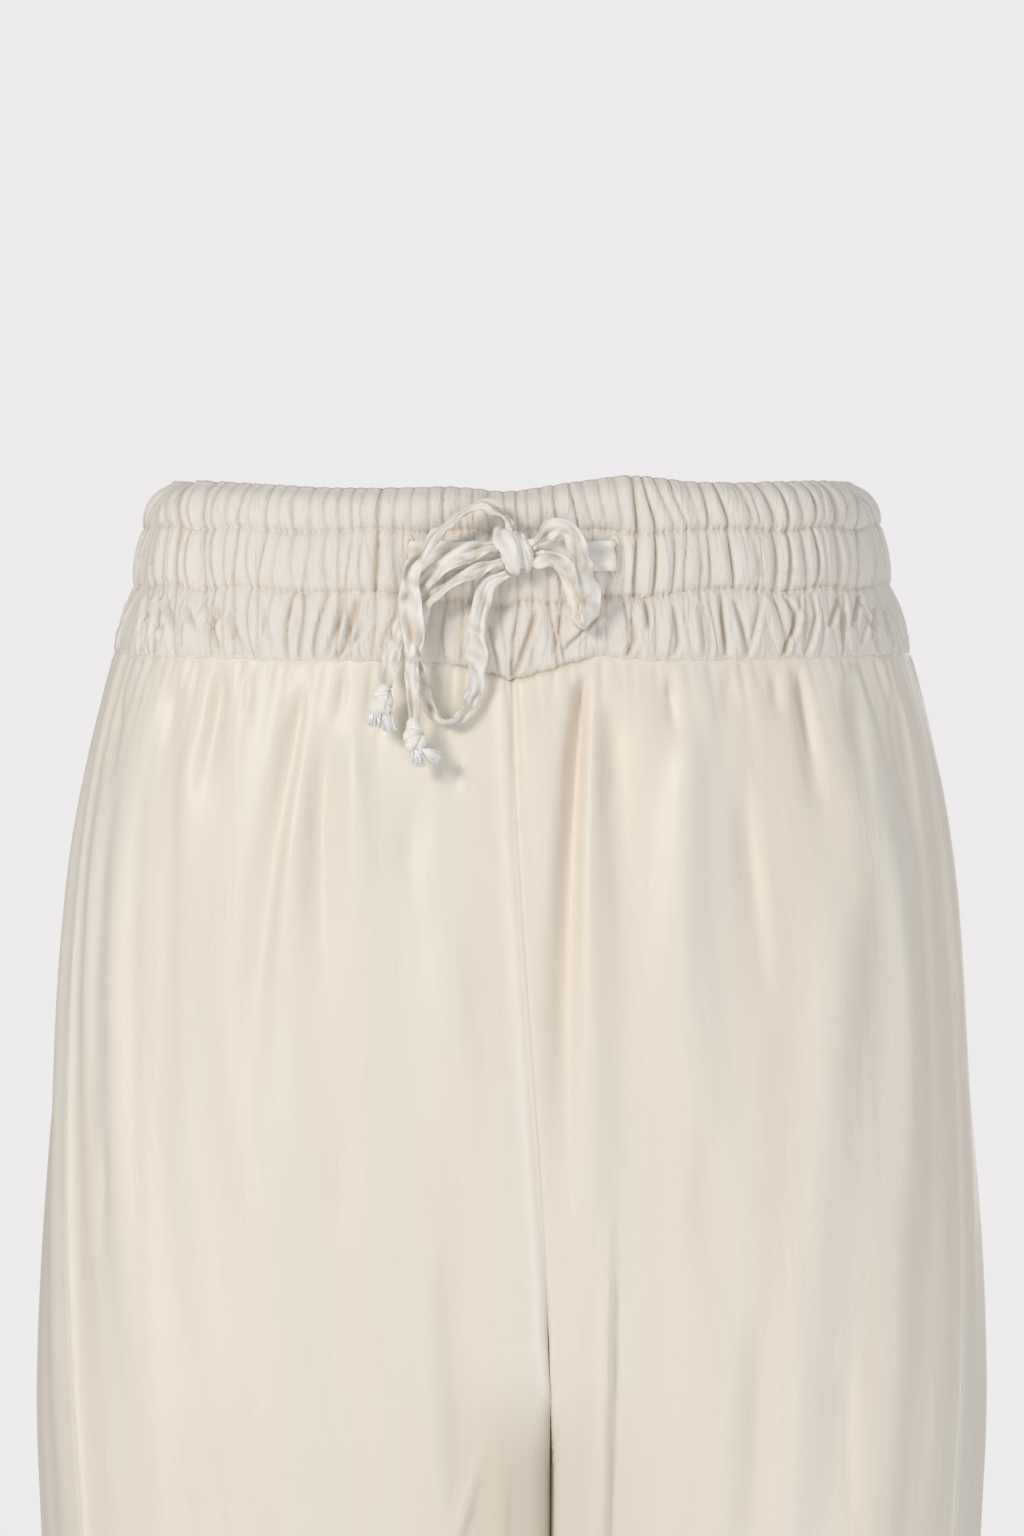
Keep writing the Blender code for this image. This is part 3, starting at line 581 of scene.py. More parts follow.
def half_round(side, front, back, inseam=0.0003, one_body=1.0, joined=1.0, pressed=squareness):
    """Half of the garment cut level, from the centre front or inside leg round the side to the back: its points,
    and how far along it each one lies. one_body is 1 where both legs hang as one squarish oval, and 0 where each
    leg is its own. joined is how far forward the centre seam still stands, and pressed how flat the insides of the
    legs lie against each other."""
    middle, half = (side + inseam) / 2.0, (side - inseam) / 2.0
    turn = np.linspace(0.0, math.pi / 2.0, 160)
    rising = np.sin(turn) ** (2.0 / squareness)
    falling = np.cos(turn) ** (2.0 / squareness)
    inner, outer = middle - half * falling, middle + half * rising
    rising = np.interp(inner, middle - half * np.cos(turn) ** (2.0 / pressed), np.sin(turn) ** (2.0 / pressed))
    body_inner, body_outer = (
        (1.0 - (x / side) ** squareness).clip(0.0) ** (1.0 / squareness) for x in (inner, outer)
    )
    valley = (joined**3 + rising**3 - (joined * rising) ** 3) ** (1.0 / 3.0)
    share = np.concatenate(
        [
            ((one_body * body_inner + 1.0 - one_body) * valley)[:-1],
            one_body * body_outer + (1.0 - one_body) * falling,
        ]
    )
    x = np.concatenate([inner[:-1], outer])
    points = np.concatenate([np.c_[x, -front * share], np.c_[x, back * share][-2::-1]])
    along = distances_along(points)
    return points, along


def set_out(points, along, distances):
    """Places at these distances along a cut, and the way out of the cloth there."""
    step = 0.003
    at, ahead, behind = (
        np.c_[np.interp(d, along, points[:, 0]), np.interp(d, along, points[:, 1])]
        for d in (distances, distances + step, distances - step)
    )
    way = ahead - behind
    way /= np.linalg.norm(way, axis=1)[:, None]
    return at, np.c_[way[:, 1], -way[:, 0]]


# Each level of the band: height, half width, depth in front and behind.
band_levels = (
    ("top edge", 0.0012, 0.1372, 0.0985, 0.1005),
    ("upper stitching", -0.0162, 0.1464, 0.1027, 0.1047),
    ("lower stitching", -0.0395, 0.1504, 0.1047, 0.1070),
    ("seam to the legs", -0.0668, 0.1587, 0.1098, 0.1138),
)
# How far each tier puffs out between its stitching, in front and at the sides.
tier_puffs = ((0.0036, 0.0026), (0.0032, 0.0006), (0.0026, 0.0004))
# Rows of points in each tier, which shares its first row with the tier above, and in the fold over the elastic:
# how far in from the top edge and how far up each of these is.
tier_rows = (14, 19, 31)
fold_rows = ((0.0026, -0.0090), (0.0030, -0.0040), (0.0028, -0.0012), (0.0020, 0.0004), (0.0010, 0.0009))
side_forward, seam_gap, mm = 0.036, 0.00006, 0.001

# The front's creases, as (at the top edge, at the upper stitching, depth), in millimetres from the centre front.
front_creases = (
    (-140.7, -142.6, 0.5), (-136.8, -139.9, 0.4), (-132.5, -135.2, 0.7), (-128.6, -130.6, 0.6),
    (-123.2, -125.5, 1.0), (-118.1, -120.1, 0.4), (-113.1, -116.6, 0.6), (-108.4, -111.1, 0.35),
    (-103.0, -106.5, 0.6), (-98.7, -101.4, 0.3), (-92.9, -95.2, 0.6), (-88.2, -89.8, 0.3),
    (-83.5, -84.3, 0.3), (-77.7, -78.1, 0.25), (-71.5, -71.9, 0.25), (-66.5, -66.5, 0.3),
    (-61.4, -61.8, 0.5), (-56.7, -57.1, 0.3), (-50.9, -52.1, 0.6), (-44.3, -44.7, 0.3),
    (-38.1, -38.5, 0.3), (-31.9, -31.9, 0.35), (-26.0, -25.6, 0.7), (-20.2, -19.8, 0.3),
    (-15.2, -14.8, 0.4), (-9.3, -8.9, 0.4), (-3.5, -3.1, 0.4), (1.6, 2.3, 0.5),
    (5.8, 6.6, 0.4), (10.9, 11.7, 0.4), (15.9, 17.9, 0.4), (22.5, 25.6, 0.8),
    (27.6, 31.5, 0.5), (33.4, 37.3, 0.4), (39.6, 42.4, 0.4), (47.0, 48.2, 0.9),
    (50.5, 55.2, 0.8), (55.5, 62.5, 0.5), (61.7, 67.9, 0.7), (67.5, 71.9, 0.4),
    (73.1, 75.4, 0.6), (79.1, 83.8, 1.0), (88.0, 92.7, 0.6), (91.5, 96.0, 0.4),
    (95.8, 100.8, 0.7), (103.2, 107.0, 0.9), (109.0, 112.5, 0.4), (114.5, 117.2, 0.8),
    (118.4, 121.0, 0.4), (122.2, 126.0, 1.0), (126.5, 129.5, 0.6), (132.7, 135.4, 1.0), (137.6, 140.5, 0.5),
)
# The sharper creases low down on the front, where the third tier is crushed. Each is its depth, and then places
# down it: how far from the stitching (0) to the seam (1), and millimetres from the centre front.
low_creases = (
    (1.0, (0.15, -135.5), (0.56, -131.6)), (0.7, (0.30, -138.4), (0.74, -136.7)),
    (0.8, (0.27, -127.3), (0.59, -122.6)), (0.7, (0.52, -128.4), (0.85, -129.0)),
    (0.4, (0.13, -118.7), (0.38, -122.2)), (0.8, (0.24, -114.7), (0.40, -113.7), (0.57, -116.8), (0.90, -112.9)),
    (0.7, (0.25, -106.5), (0.43, -109.4), (0.71, -105.7), (1.0, -101.4)),
    (0.45, (0.13, -97.1), (0.46, -94.3), (0.85, -91.4)), (0.4, (0.13, -82.8), (0.43, -83.5), (0.85, -86.1)),
    (0.9, (0.04, -64.5), (0.49, -67.1), (1.0, -72.4)),
    (1.0, (0.10, -59.1), (0.49, -62.1), (0.79, -64.1), (1.0, -68.1)),
    (0.5, (0.44, -55.5), (0.88, -63.4)), (0.5, (0.36, -46.2), (0.82, -50.4)),
    (1.0, (0.10, 9.6), (0.68, 3.9), (0.97, 1.0)), (0.6, (0.18, 18.6), (0.78, 16.5)),
    (0.9, (0.30, 32.6), (0.76, 20.5)), (0.7, (0.35, 46.3), (0.70, 47.1), (1.0, 44.6)),
    (1.0, (0.0, 51.4), (0.50, 52.6)), (0.7, (0.18, 62.5), (0.70, 64.0), (0.90, 62.9)),
    (0.5, (0.20, 72.4), (0.92, 74.7)), (1.0, (0.06, 80.9), (0.39, 80.9), (0.93, 82.8)),
    (0.7, (0.15, 86.2), (0.96, 91.8)), (0.6, (0.18, 95.9), (0.55, 93.4), (0.88, 91.8)),
    (0.4, (0.05, 100.4), (0.30, 103.0)),
    (0.9, (0.08, 105.6), (0.36, 109.7), (0.55, 109.0), (1.0, 104.3)), (0.5, (0.08, 112.3), (0.48, 109.8)),
    (0.7, (0.06, 116.8), (0.39, 117.6), (0.90, 114.5)), (0.9, (0.15, 127.3), (0.58, 122.7)),
    (0.5, (0.04, 129.6), (0.55, 128.4), (0.80, 128.8)), (1.0, (0.10, 136.1), (0.58, 132.0)),
    (0.5, (0.52, 137.7), (0.82, 136.2)), (0.6, (0.20, 142.0), (0.60, 140.0), (0.90, 143.0)),
    (0.6, (0.10, -143.0), (0.50, -141.5), (0.90, -145.0)),
)


def seam_dip(x):
    """The shallow V of the seam at the centre front, the place beside it where the legs ride up, and its waver."""
    v_side = np.where(x < -0.0005, 0.0150, 0.0200)
    dip = -0.0070 * bell(np.abs(x + 0.0005), v_side, 1.5) + 0.0026 * bell(x - 0.034, 0.013)
    return dip + 0.0003 * np.sin(x / 0.0017 + 2.0 * np.sin(x / 0.011)) + 0.0002 * np.sin(x / 0.0007)


def v_line(x):
    """How far the seam is sunk in a fine groove and darkened with painted shade: only along the V."""
    return eased((0.031 - np.abs(x - 0.004)) / 0.008)


def crease_table(face, reach, chance):
    """Where each crease lies at the four levels of the band, from the middle of this half, and how deep it is in
    each tier. The front has the ones above, and the rest are drawn by chance at the same spacing."""
    row = []
    if face == "front":
        row = [(top * mm, stitched * mm, depth) for top, stitched, depth in front_creases]
    low, high = (row[0][0], row[-1][0]) if row else (0.0, 0.003)
    while low > -reach - 0.004:
        low -= chance.uniform(0.0038, 0.0075)
        row.insert(0, (low, low - chance.uniform(-0.0015, 0.0025), chance.choice((0.35, 0.5, 0.7, 1.0))))
    while high < reach + 0.004:
        high += chance.uniform(0.0038, 0.0075)
        row.append((high, high + chance.uniform(-0.0015, 0.0025), chance.choice((0.35, 0.5, 0.7, 1.0))))
    places, depths = [], []
    for top, stitched, depth in row:
        lower = stitched * 1.012 + chance.gauss(0.0, 0.0012)
        seam = lower * 1.03 + chance.gauss(0.0, 0.0030)
        places.append((top, stitched, lower, seam))
        depths.append((depth, min(1.0, depth * chance.uniform(0.6, 1.5)), chance.uniform(0.25, 0.8)))
    places = np.array(places)
    for level in range(4):
        places[:, level] = np.sort(places[:, level])
        for i in range(1, len(places)):
            places[i, level] = max(places[i, level], places[i - 1, level] + 0.0011)
    return places, np.array(depths)


def crushed_creases(face, reach, chance):
    """The sharp creases of the third tier, in metres along the cloth: the front's own, and more round the sides."""
    rows, at = [], 0.002
    if face == "front":
        rows, at = [(depth, [(f, x * mm) for f, x in stops]) for depth, *stops in low_creases], 0.148
    while at < reach:
        for side in (-1.0, 1.0):
            top = chance.uniform(0.03, 0.35)
            foot = chance.uniform(0.65, 1.0)
            kink = chance.gauss(0.0, 0.0022)
            start = side * at
            stops = [(top, start), ((top + foot) / 2.0, start + kink), (foot, start + chance.gauss(0.0, 0.0030))]
            rows.append((chance.uniform(0.3, 0.8), stops))
        at += chance.uniform(0.0050, 0.0105)
    return rows


def band_half(face, seed, columns):
    """The places of one half of the band, from the wearer's right to left, with the fold over the elastic, and the
    painted light and shade of each: painted shade in its creases, puckers and seams, and a painted highlight on the
    tops of its gathers and along the seam to the legs."""
    chance = random.Random(seed)
    heights = np.array([z for _, z, *_ in band_levels])
    table = {name: [row[k] for row in band_levels] for name, k in (("side", 2), ("front", 3), ("back", 4))}
    rows = []
    for tier, count in enumerate(tier_rows):
        even = np.linspace(0.0, 1.0, count)
        packed = 0.45 * even + 0.55 * (0.5 - 0.5 * np.cos(math.pi * even))
        depth = heights[tier + 1] - heights[tier]
        rows.extend((tier, heights[tier] + depth * f, f) for f in packed[min(tier, 1) :])
    share = np.linspace(-1.0, 1.0, columns)
    places, spans, painted_light_values, creases = [], [], [], None
    puckers = [-0.24]
    while puckers[-1] < 0.24:
        puckers.append(puckers[-1] + chance.uniform(0.0018, 0.0040))
    puckers = np.array(puckers)
    pucker_depths = np.array([chance.uniform(0.2, 1.0) for _ in puckers])
    for tier, z, fallen in rows:
        side, front, back = (np.interp(-z, -heights, table[k]) for k in ("side", "front", "back"))
        points, along = half_round(side, front, back)
        widest = int(np.argmax(points[:, 0]))
        to_side = along[widest] - side_forward
        reach = (to_side if face == "front" else along[-1] - to_side) - seam_gap
        if creases is None:
            creases, depths = crease_table(face, reach * 1.08, chance)
            crushed = crushed_creases(face, reach * 1.10, chance)
            leans = np.array([chance.choice((0.55, 0.75, 1.0, 1.35, 1.8)) for _ in creases])
        across = share * reach
        at, out = set_out(points, along, np.abs(across) if face == "front" else along[-1] - np.abs(across))
        near_row = bell(z - heights[1], 0.0010) + bell(z - heights[2], 0.0010)
        middle_puff, side_puff = tier_puffs[tier]
        full = (4.0 * fallen * (1.0 - fallen)) ** 0.8
        if tier == 0:
            full = math.sin(math.pi * min(1.0, 0.12 + 0.88 * fallen)) ** 0.8
        puff = (middle_puff + (side_puff - middle_puff) * (at[:, 0] / side) ** 2) * full
        puff = puff - 0.0003 * near_row
        now = creases[:, tier] + (creases[:, tier + 1] - creases[:, tier]) * eased(fallen)
        now = now + (0.0006, 0.0009, 0.0015)[tier] * math.sin(math.pi * fallen) * np.sin(np.arange(len(now)) * 2.4)
        if face == "front":
            flat = np.minimum(np.abs(now), 0.97 * side)
            now = np.copysign(np.interp(flat, points[:widest, 0], along[:widest]) + np.abs(now) - flat, now)
        i = np.clip(np.searchsorted(now, across) - 1, 0, len(now) - 2)
        between = np.clip((across - now[i]) / (now[i + 1] - now[i]), 0.0, 1.0)
        strength = depths[i, tier] * (1.0 - between) + depths[i + 1, tier] * between
        strength = np.minimum(1.0, (0.15 + 0.85 * strength**1.3) * (1.0 - 0.18 * np.tanh(across / 0.05)))
        leaning = between ** leans[i]
        rounded = (4.0 * leaning * (1.0 - leaning)) ** 0.5
        ruffle = 0.0016 + 0.0024 * full
        if tier == 2:
            ruffle *= 0.75
        room = np.clip((now[i + 1] - now[i]) / 0.006, 0.4, 1.2)
        gather = ruffle * (0.45 - room * strength * (1.0 - rounded))
        nearest = np.minimum(across - now[i], now[i + 1] - across)
        # The painted shade in the creases, deepest on each crease line.
        crease_shade = strength * (0.7 * np.exp(-nearest / 0.0006) + 0.3 * bell(nearest, 0.0018))
        crease_shade = crease_shade * (0.65 + 0.35 * near_row)
        i = np.clip(np.searchsorted(puckers, across) - 1, 0, len(puckers) - 2)
        off = np.minimum(across - puckers[i], puckers[i + 1] - across)
        pinch = pucker_depths[i] * bell(off, 0.0008)
        pinch = pinch * sum(bell(z - level, 0.0020) for level in heights[1:3])
        pinch = pinch + 0.6 * pucker_depths[i] * bell(off, 0.0010) * math.exp((heights[3] - z) / 0.0030)
        gather = gather - 0.0009 * pinch
        crease_shade = np.maximum(crease_shade, 0.75 * pinch)
        if tier == 2:
            for depth, stops in crushed:
                if not stops[0][0] <= fallen <= stops[-1][0]:
                    continue
                x = np.interp(fallen, [f for f, _ in stops], [p for _, p in stops])
                if face == "front" and abs(x) < 0.147:
                    x = math.copysign(np.interp(abs(x), points[:widest, 0], along[:widest]), x)
                along_it = (fallen - stops[0][0]) / (stops[-1][0] - stops[0][0])
                depth = depth * math.sin(math.pi * (0.06 + 0.88 * along_it)) ** 0.5
                off = across - x
                way = 1.0 if stops[-1][1] > stops[0][1] else -1.0
                gather = gather - 0.0025 * depth * bell(off, 0.0013)
                gather = gather + 0.0011 * depth * bell(off + way * 0.0024, 0.0015)
                crease_shade = np.maximum(crease_shade, depth * bell(off, 0.0010))
        # The sewn seams are flat, and so is the cloth that the buttonholes are worked on.
        gather = gather * (1.0 - bell(z - heights[3], 0.0016))
        near_side = eased((1.0 - np.abs(share)) / 0.05)
        gather = gather * near_side
        crease_shade = crease_shade * near_side
        x = np.copysign(at[:, 0], share)
        if face == "front":
            patch = bell(np.abs(x) - hole_x, 0.0050, 4) * bell(z - hole_z - 0.0042, 0.0095, 4)
            gather = gather * (1.0 - patch) - 0.0002 * patch
            crease_shade = crease_shade * (1.0 - patch)
        at_seam = bell(z - heights[3], 0.0010)
        line = v_line(x) * at_seam if face == "front" else 0.0
        curl = 0.0030 * max(0.0, 1.0 - fallen / 0.24) ** 2.0 if tier == 0 else 0.0
        pressed = bell(np.abs(x + 0.074) - 0.003, 0.006, 4) + bell(x - 0.108, 0.020, 4)
        pressed = pressed * bell(z + 0.0335, 0.0007) if face == "front" else 0.0
        gather = gather - 0.0006 * pressed
        at = at + out * (puff + gather - 0.0001 * at_seam - 0.0004 * line - curl)[:, None]
        x = np.copysign(at[:, 0], share)
        drop = (0.0045 if face == "front" else 0.0020) * (at[:, 1] / (front if face == "front" else back)) ** 2
        height = z - drop
        edge = eased((z + 0.0100) / 0.0120)
        if face == "front":
            height = height + edge * (
                -0.0024 * bell(x + 0.0020, 0.014) + 0.0034 * bell(x - 0.0460, 0.020)
                - 0.0016 * bell(x + 0.0640, 0.042)
            )
            sagging = eased((heights[1] - z) / 0.0233) * eased((z - heights[3]) / 0.0273)
            height = height + sagging * -0.0048 * bell(x, 0.044)
            height = height + eased((heights[2] - z) / 0.0273) * seam_dip(x)
        height = height - 0.0010 * edge * eased((np.abs(x) - 0.118) / 0.020)
        for level in (heights[1], heights[2]):
            sag = math.exp(-abs(z - level) / 0.0022) * (1.0 if z >= level else -0.6)
            height = height - 0.0009 * sag * (rounded - 0.5) * strength * near_side
            height = height + 0.0008 * bell(z - level, 0.004) * np.sin(x / 0.0055 + 2.0 * np.sin(x / 0.023))
        height = height + 0.0018 * (rounded - 0.6) * strength * near_side * math.exp(-max(0.0, 0.002 - z) / 0.003)
        places.append(np.c_[x, at[:, 1], height])
        spans.append(np.c_[across * 1.4, np.full(columns, z)])
        # Painted light and shade: the tops of the gathers paler and their valleys darker, and painted shade in the
        # creases, puckers, stitching rows, the V of the seam and the pressed crease; a painted highlight along the
        # seam to the legs.
        band_painted_light_and_shade = 0.8 * (rounded - 0.6) * strength * near_side - 0.90 * crease_shade
        band_painted_light_and_shade = band_painted_light_and_shade - 0.04 * near_row - 0.40 * line - 0.2 * pressed
        band_painted_light_and_shade = band_painted_light_and_shade + 0.25 * at_seam * (1.0 - v_line(x) if face == "front" else 1.0)
        painted_light_values.append(np.clip(band_painted_light_and_shade, -1.0, 1.0))
    places, spans, painted_light_values = np.array(places), np.array(spans), np.array(painted_light_values)
    outward = places[0] * (1.0, 1.0, 0.0)
    outward /= np.linalg.norm(outward, axis=1)[:, None]
    turned_over = [places[0] - outward * inward + (0.0, 0.0, lift) for inward, lift in fold_rows]
    places = np.concatenate([np.array(turned_over), places])
    spans = np.concatenate([spans[:1] + (0.0, 0.002 * k) for k in range(len(fold_rows), 0, -1)] + [spans])
    painted_light_values = np.concatenate([painted_light_values[:1]] * len(fold_rows) + [painted_light_values])
    return places, spans, painted_light_values


waistband, band_grids = {}, {}
for face, seed, columns in (("front", 5, 690), ("back", 8, 570)):
    places, spans, painted_light_values = band_half(face, seed, columns)
    band_grids[face] = places
    # The rows run downwards, and the back is laid out the same way across, so its faces are turned round.
    if face == "front":
        places, spans, painted_light_values = places[::-1], spans[::-1], painted_light_values[::-1]
    piece = grid_cloth(f"waistband_{face}_cloth", places, spans, 0.0, band_crepe, painted_light_values)
    if face == "front":
        middle = (places[:-1, :-1] + places[1:, 1:]) / 2.0
        slit = (np.abs(np.abs(middle[:, :, 0]) - hole_x) < 0.0007) & (np.abs(middle[:, :, 2] - hole_z) < 0.0066)
        bpy.ops.object.mode_set(mode="EDIT")
        bpy.ops.mesh.select_all(action="DESELECT")
        bpy.ops.mesh.select_mode(type="FACE")
        bpy.ops.object.mode_set(mode="OBJECT")
        piece.data.polygons.foreach_set("select", slit.reshape(-1))
        bpy.ops.object.mode_set(mode="EDIT")
        bpy.ops.mesh.delete(type="FACE")
        bpy.ops.object.mode_set(mode="OBJECT")
    thick = piece.modifiers.new("Wall", "SOLIDIFY")
    thick.thickness = 0.0006
    thick.offset = -1.0
    bpy.ops.object.modifier_apply(modifier=thick.name)
    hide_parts(f"waistband_{face}")
    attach(piece, "root")
    waistband[face] = piece


# The sewing of the band: a row of lock stitches sunk in each gathered row, and a buttonhole worked in close
# stitches round each slit, all in one warm ecru thread.
ecru = thread_colour(
    "ecru_thread", (0.84, 0.76, 0.63), (0.93, 0.87, 0.76), specks=900.0, roughness=0.6, sheen=0.3
)

bpy.ops.object.select_all(action="DESELECT")
bpy.ops.mesh.primitive_uv_sphere_add(segments=6, ring_count=4, radius=0.5)
one_stitch = bpy.context.object


def laid_along(start, end, out, thick, sunk=0.0):
    """The matrix that lays the modelled stitch from start to end, with its thickness, sunk into the cloth."""
    start, end, out = Vector(start), Vector(end), Vector(out)
    way = (end - start).normalized()
    side = out.cross(way).normalized()
    up = way.cross(side)
    turned = Matrix((way, side, up)).transposed().to_4x4()
    size = Matrix.Diagonal(((end - start).length, thick, thick, 1.0))
    return Matrix.Translation((start + end) / 2.0 - up * sunk) @ turned @ size


def stitch_ends(line, first, last, pitch, length):
    """Where each stitch of a row along this line starts and ends."""
    far = distances_along(line)
    begins = np.arange(first, far[-1] - last, pitch)
    starts, ends = (
        np.c_[tuple(np.interp(begins + d, far, line[:, k]) for k in range(3))] for d in (0.0, length)
    )
    return [(Vector(start), Vector(end)) for start, end in zip(starts, ends)]


settings = []
upper_row = len(fold_rows) + tier_rows[0] - 1
for grid in band_grids.values():
    for row in (upper_row, upper_row + tier_rows[1] - 1):
        for start, end in stitch_ends(grid[row], 0.0015, 0.0015, 0.0027, 0.0019):
            out = Vector((start.x, start.y * 1.6, 0.0)).normalized()
            settings.append(laid_along(start + out * 0.00012, end + out * 0.00012, out, 0.0004))
row_stitches = copies_of(one_stitch, "band_row_stitches", settings, ecru)

settings = []
front_grid = band_grids["front"].reshape(-1, 3)
for hand in (-1.0, 1.0):
    for step in range(72):
        turn = 2.0 * math.pi * step / 72
        round_x, round_z = math.cos(turn), math.sin(turn)
        inner = Vector((hand * hole_x + 0.0003 * round_x, 0.0, hole_z + 0.0062 * round_z))
        outer = Vector((hand * hole_x + 0.0027 * round_x, 0.0, hole_z + 0.0088 * round_z))
        for spot in (inner, outer):
            spot.y = front_grid[np.argmin((front_grid[:, 0] - spot.x) ** 2 + (front_grid[:, 2] - spot.z) ** 2), 1]
        settings.append(laid_along(inner, outer, (0.0, -1.0, 0.0), 0.0008, -0.0003))
buttonholes = copies_of(one_stitch, "worked_buttonholes", settings, ecru)
for piece in (row_stitches, buttonholes):
    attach(piece, "root")


# The legs: four panels of satin, a front and a back for each leg, gathered into the band. They are joined at the
# centre, at the sides and inside the legs. The cloth hangs in long soft folds, and the hem is turned up.
leg_satin = cloth(
    "leg_satin",
    light=(0.87, 0.795, 0.69),
    dark=(0.85, 0.772, 0.665),
    roughness=0.45,
    threads=1100.0,
    slub_length=24.0,
    bump=0.000015,
    crinkle=0.0010,
    crinkle_size=0.026,
    sheen=0.10,
    drift=0.020,
)
leg_levels = np.array(
    [
        # height, half width, front, back, inside leg from the centre, side seam towards the front
        (-0.0668, 0.1587, 0.1098, 0.1138, 0.0000, 0.0360), (-0.0850, 0.1642, 0.1132, 0.1205, 0.0000, 0.0355),
        (-0.1100, 0.1694, 0.1162, 0.1265, 0.0000, 0.0350), (-0.1500, 0.1755, 0.1195, 0.1330, 0.0000, 0.0365),
        (-0.2000, 0.1801, 0.1222, 0.1380, 0.0000, 0.0400), (-0.2550, 0.1844, 0.1240, 0.1395, 0.0000, 0.0490),
        (-0.3050, 0.1874, 0.1246, 0.1380, 0.0000, 0.0600), (-0.3450, 0.1887, 0.1243, 0.1348, 0.0000, 0.0690),
        (-0.3700, 0.1889, 0.1236, 0.1315, 0.0000, 0.0740), (-0.3810, 0.1884, 0.1230, 0.1300, 0.0000, 0.0760),
        (-0.4200, 0.1864, 0.1210, 0.1260, 0.0000, 0.0790), (-0.4600, 0.1850, 0.1180, 0.1222, 0.0020, 0.0790),
        (-0.5000, 0.1832, 0.1150, 0.1180, 0.0060, 0.0780), (-0.6000, 0.1785, 0.1050, 0.1080, 0.0135, 0.0720),
        (-0.7200, 0.1705, 0.0920, 0.0960, 0.0200, 0.0630), (-0.8500, 0.1615, 0.0780, 0.0840, 0.0265, 0.0520),
        (-0.9900, 0.1520, 0.0640, 0.0700, 0.0320, 0.0420),
    ]
)
leg_top, hip, crotch, hem = -0.0668, -0.200, -0.381, -0.990
even_levels = np.arange(-0.0668, -0.9921, -0.002)
even_sizes = []
for column in range(1, 6):
    plain = np.interp(-even_levels, -leg_levels[:, 0], leg_levels[:, column])
    padded = np.concatenate([2 * plain[0] - plain[9:0:-1], plain, 2 * plain[-1] - plain[-2:-11:-1]])
    even_sizes.append(np.convolve(padded, np.ones(19) / 19.0, mode="valid"))


def leg_cut(z):
    """The half round of one leg at height z, with the distances of its seams."""
    side, front, back, inseam, forward = (np.interp(-z, -even_levels, column) for column in even_sizes)
    fallen = min(1.0, max(0.0, (hip - z) / (hip - crotch)))
    joined = math.sqrt(max(0.0, 1.0 - fallen**16))
    one_body = 1.0 - float(eased((hip - z) / 0.30))
    flattened = float(eased((-0.24 - z) / 0.12) * (1.0 - eased((-0.41 - z) / 0.24)))
    pressed = squareness / (1.0 - 0.935 * flattened)
    points, along = half_round(side, front, back, max(inseam, 0.00003), one_body, joined, pressed)
    widest = int(np.argmax(points[:, 0]))
    side_seam = along[widest] - forward
    turned = (inseam + 0.006, 0.30 * side)
    inner_front = np.interp(turned, points[:widest, 0], along[:widest])
    inner_back = np.interp(turned, points[:widest:-1, 0], along[:widest:-1])
    return points, along, side, front, back, side_seam, inner_front, inner_back, widest


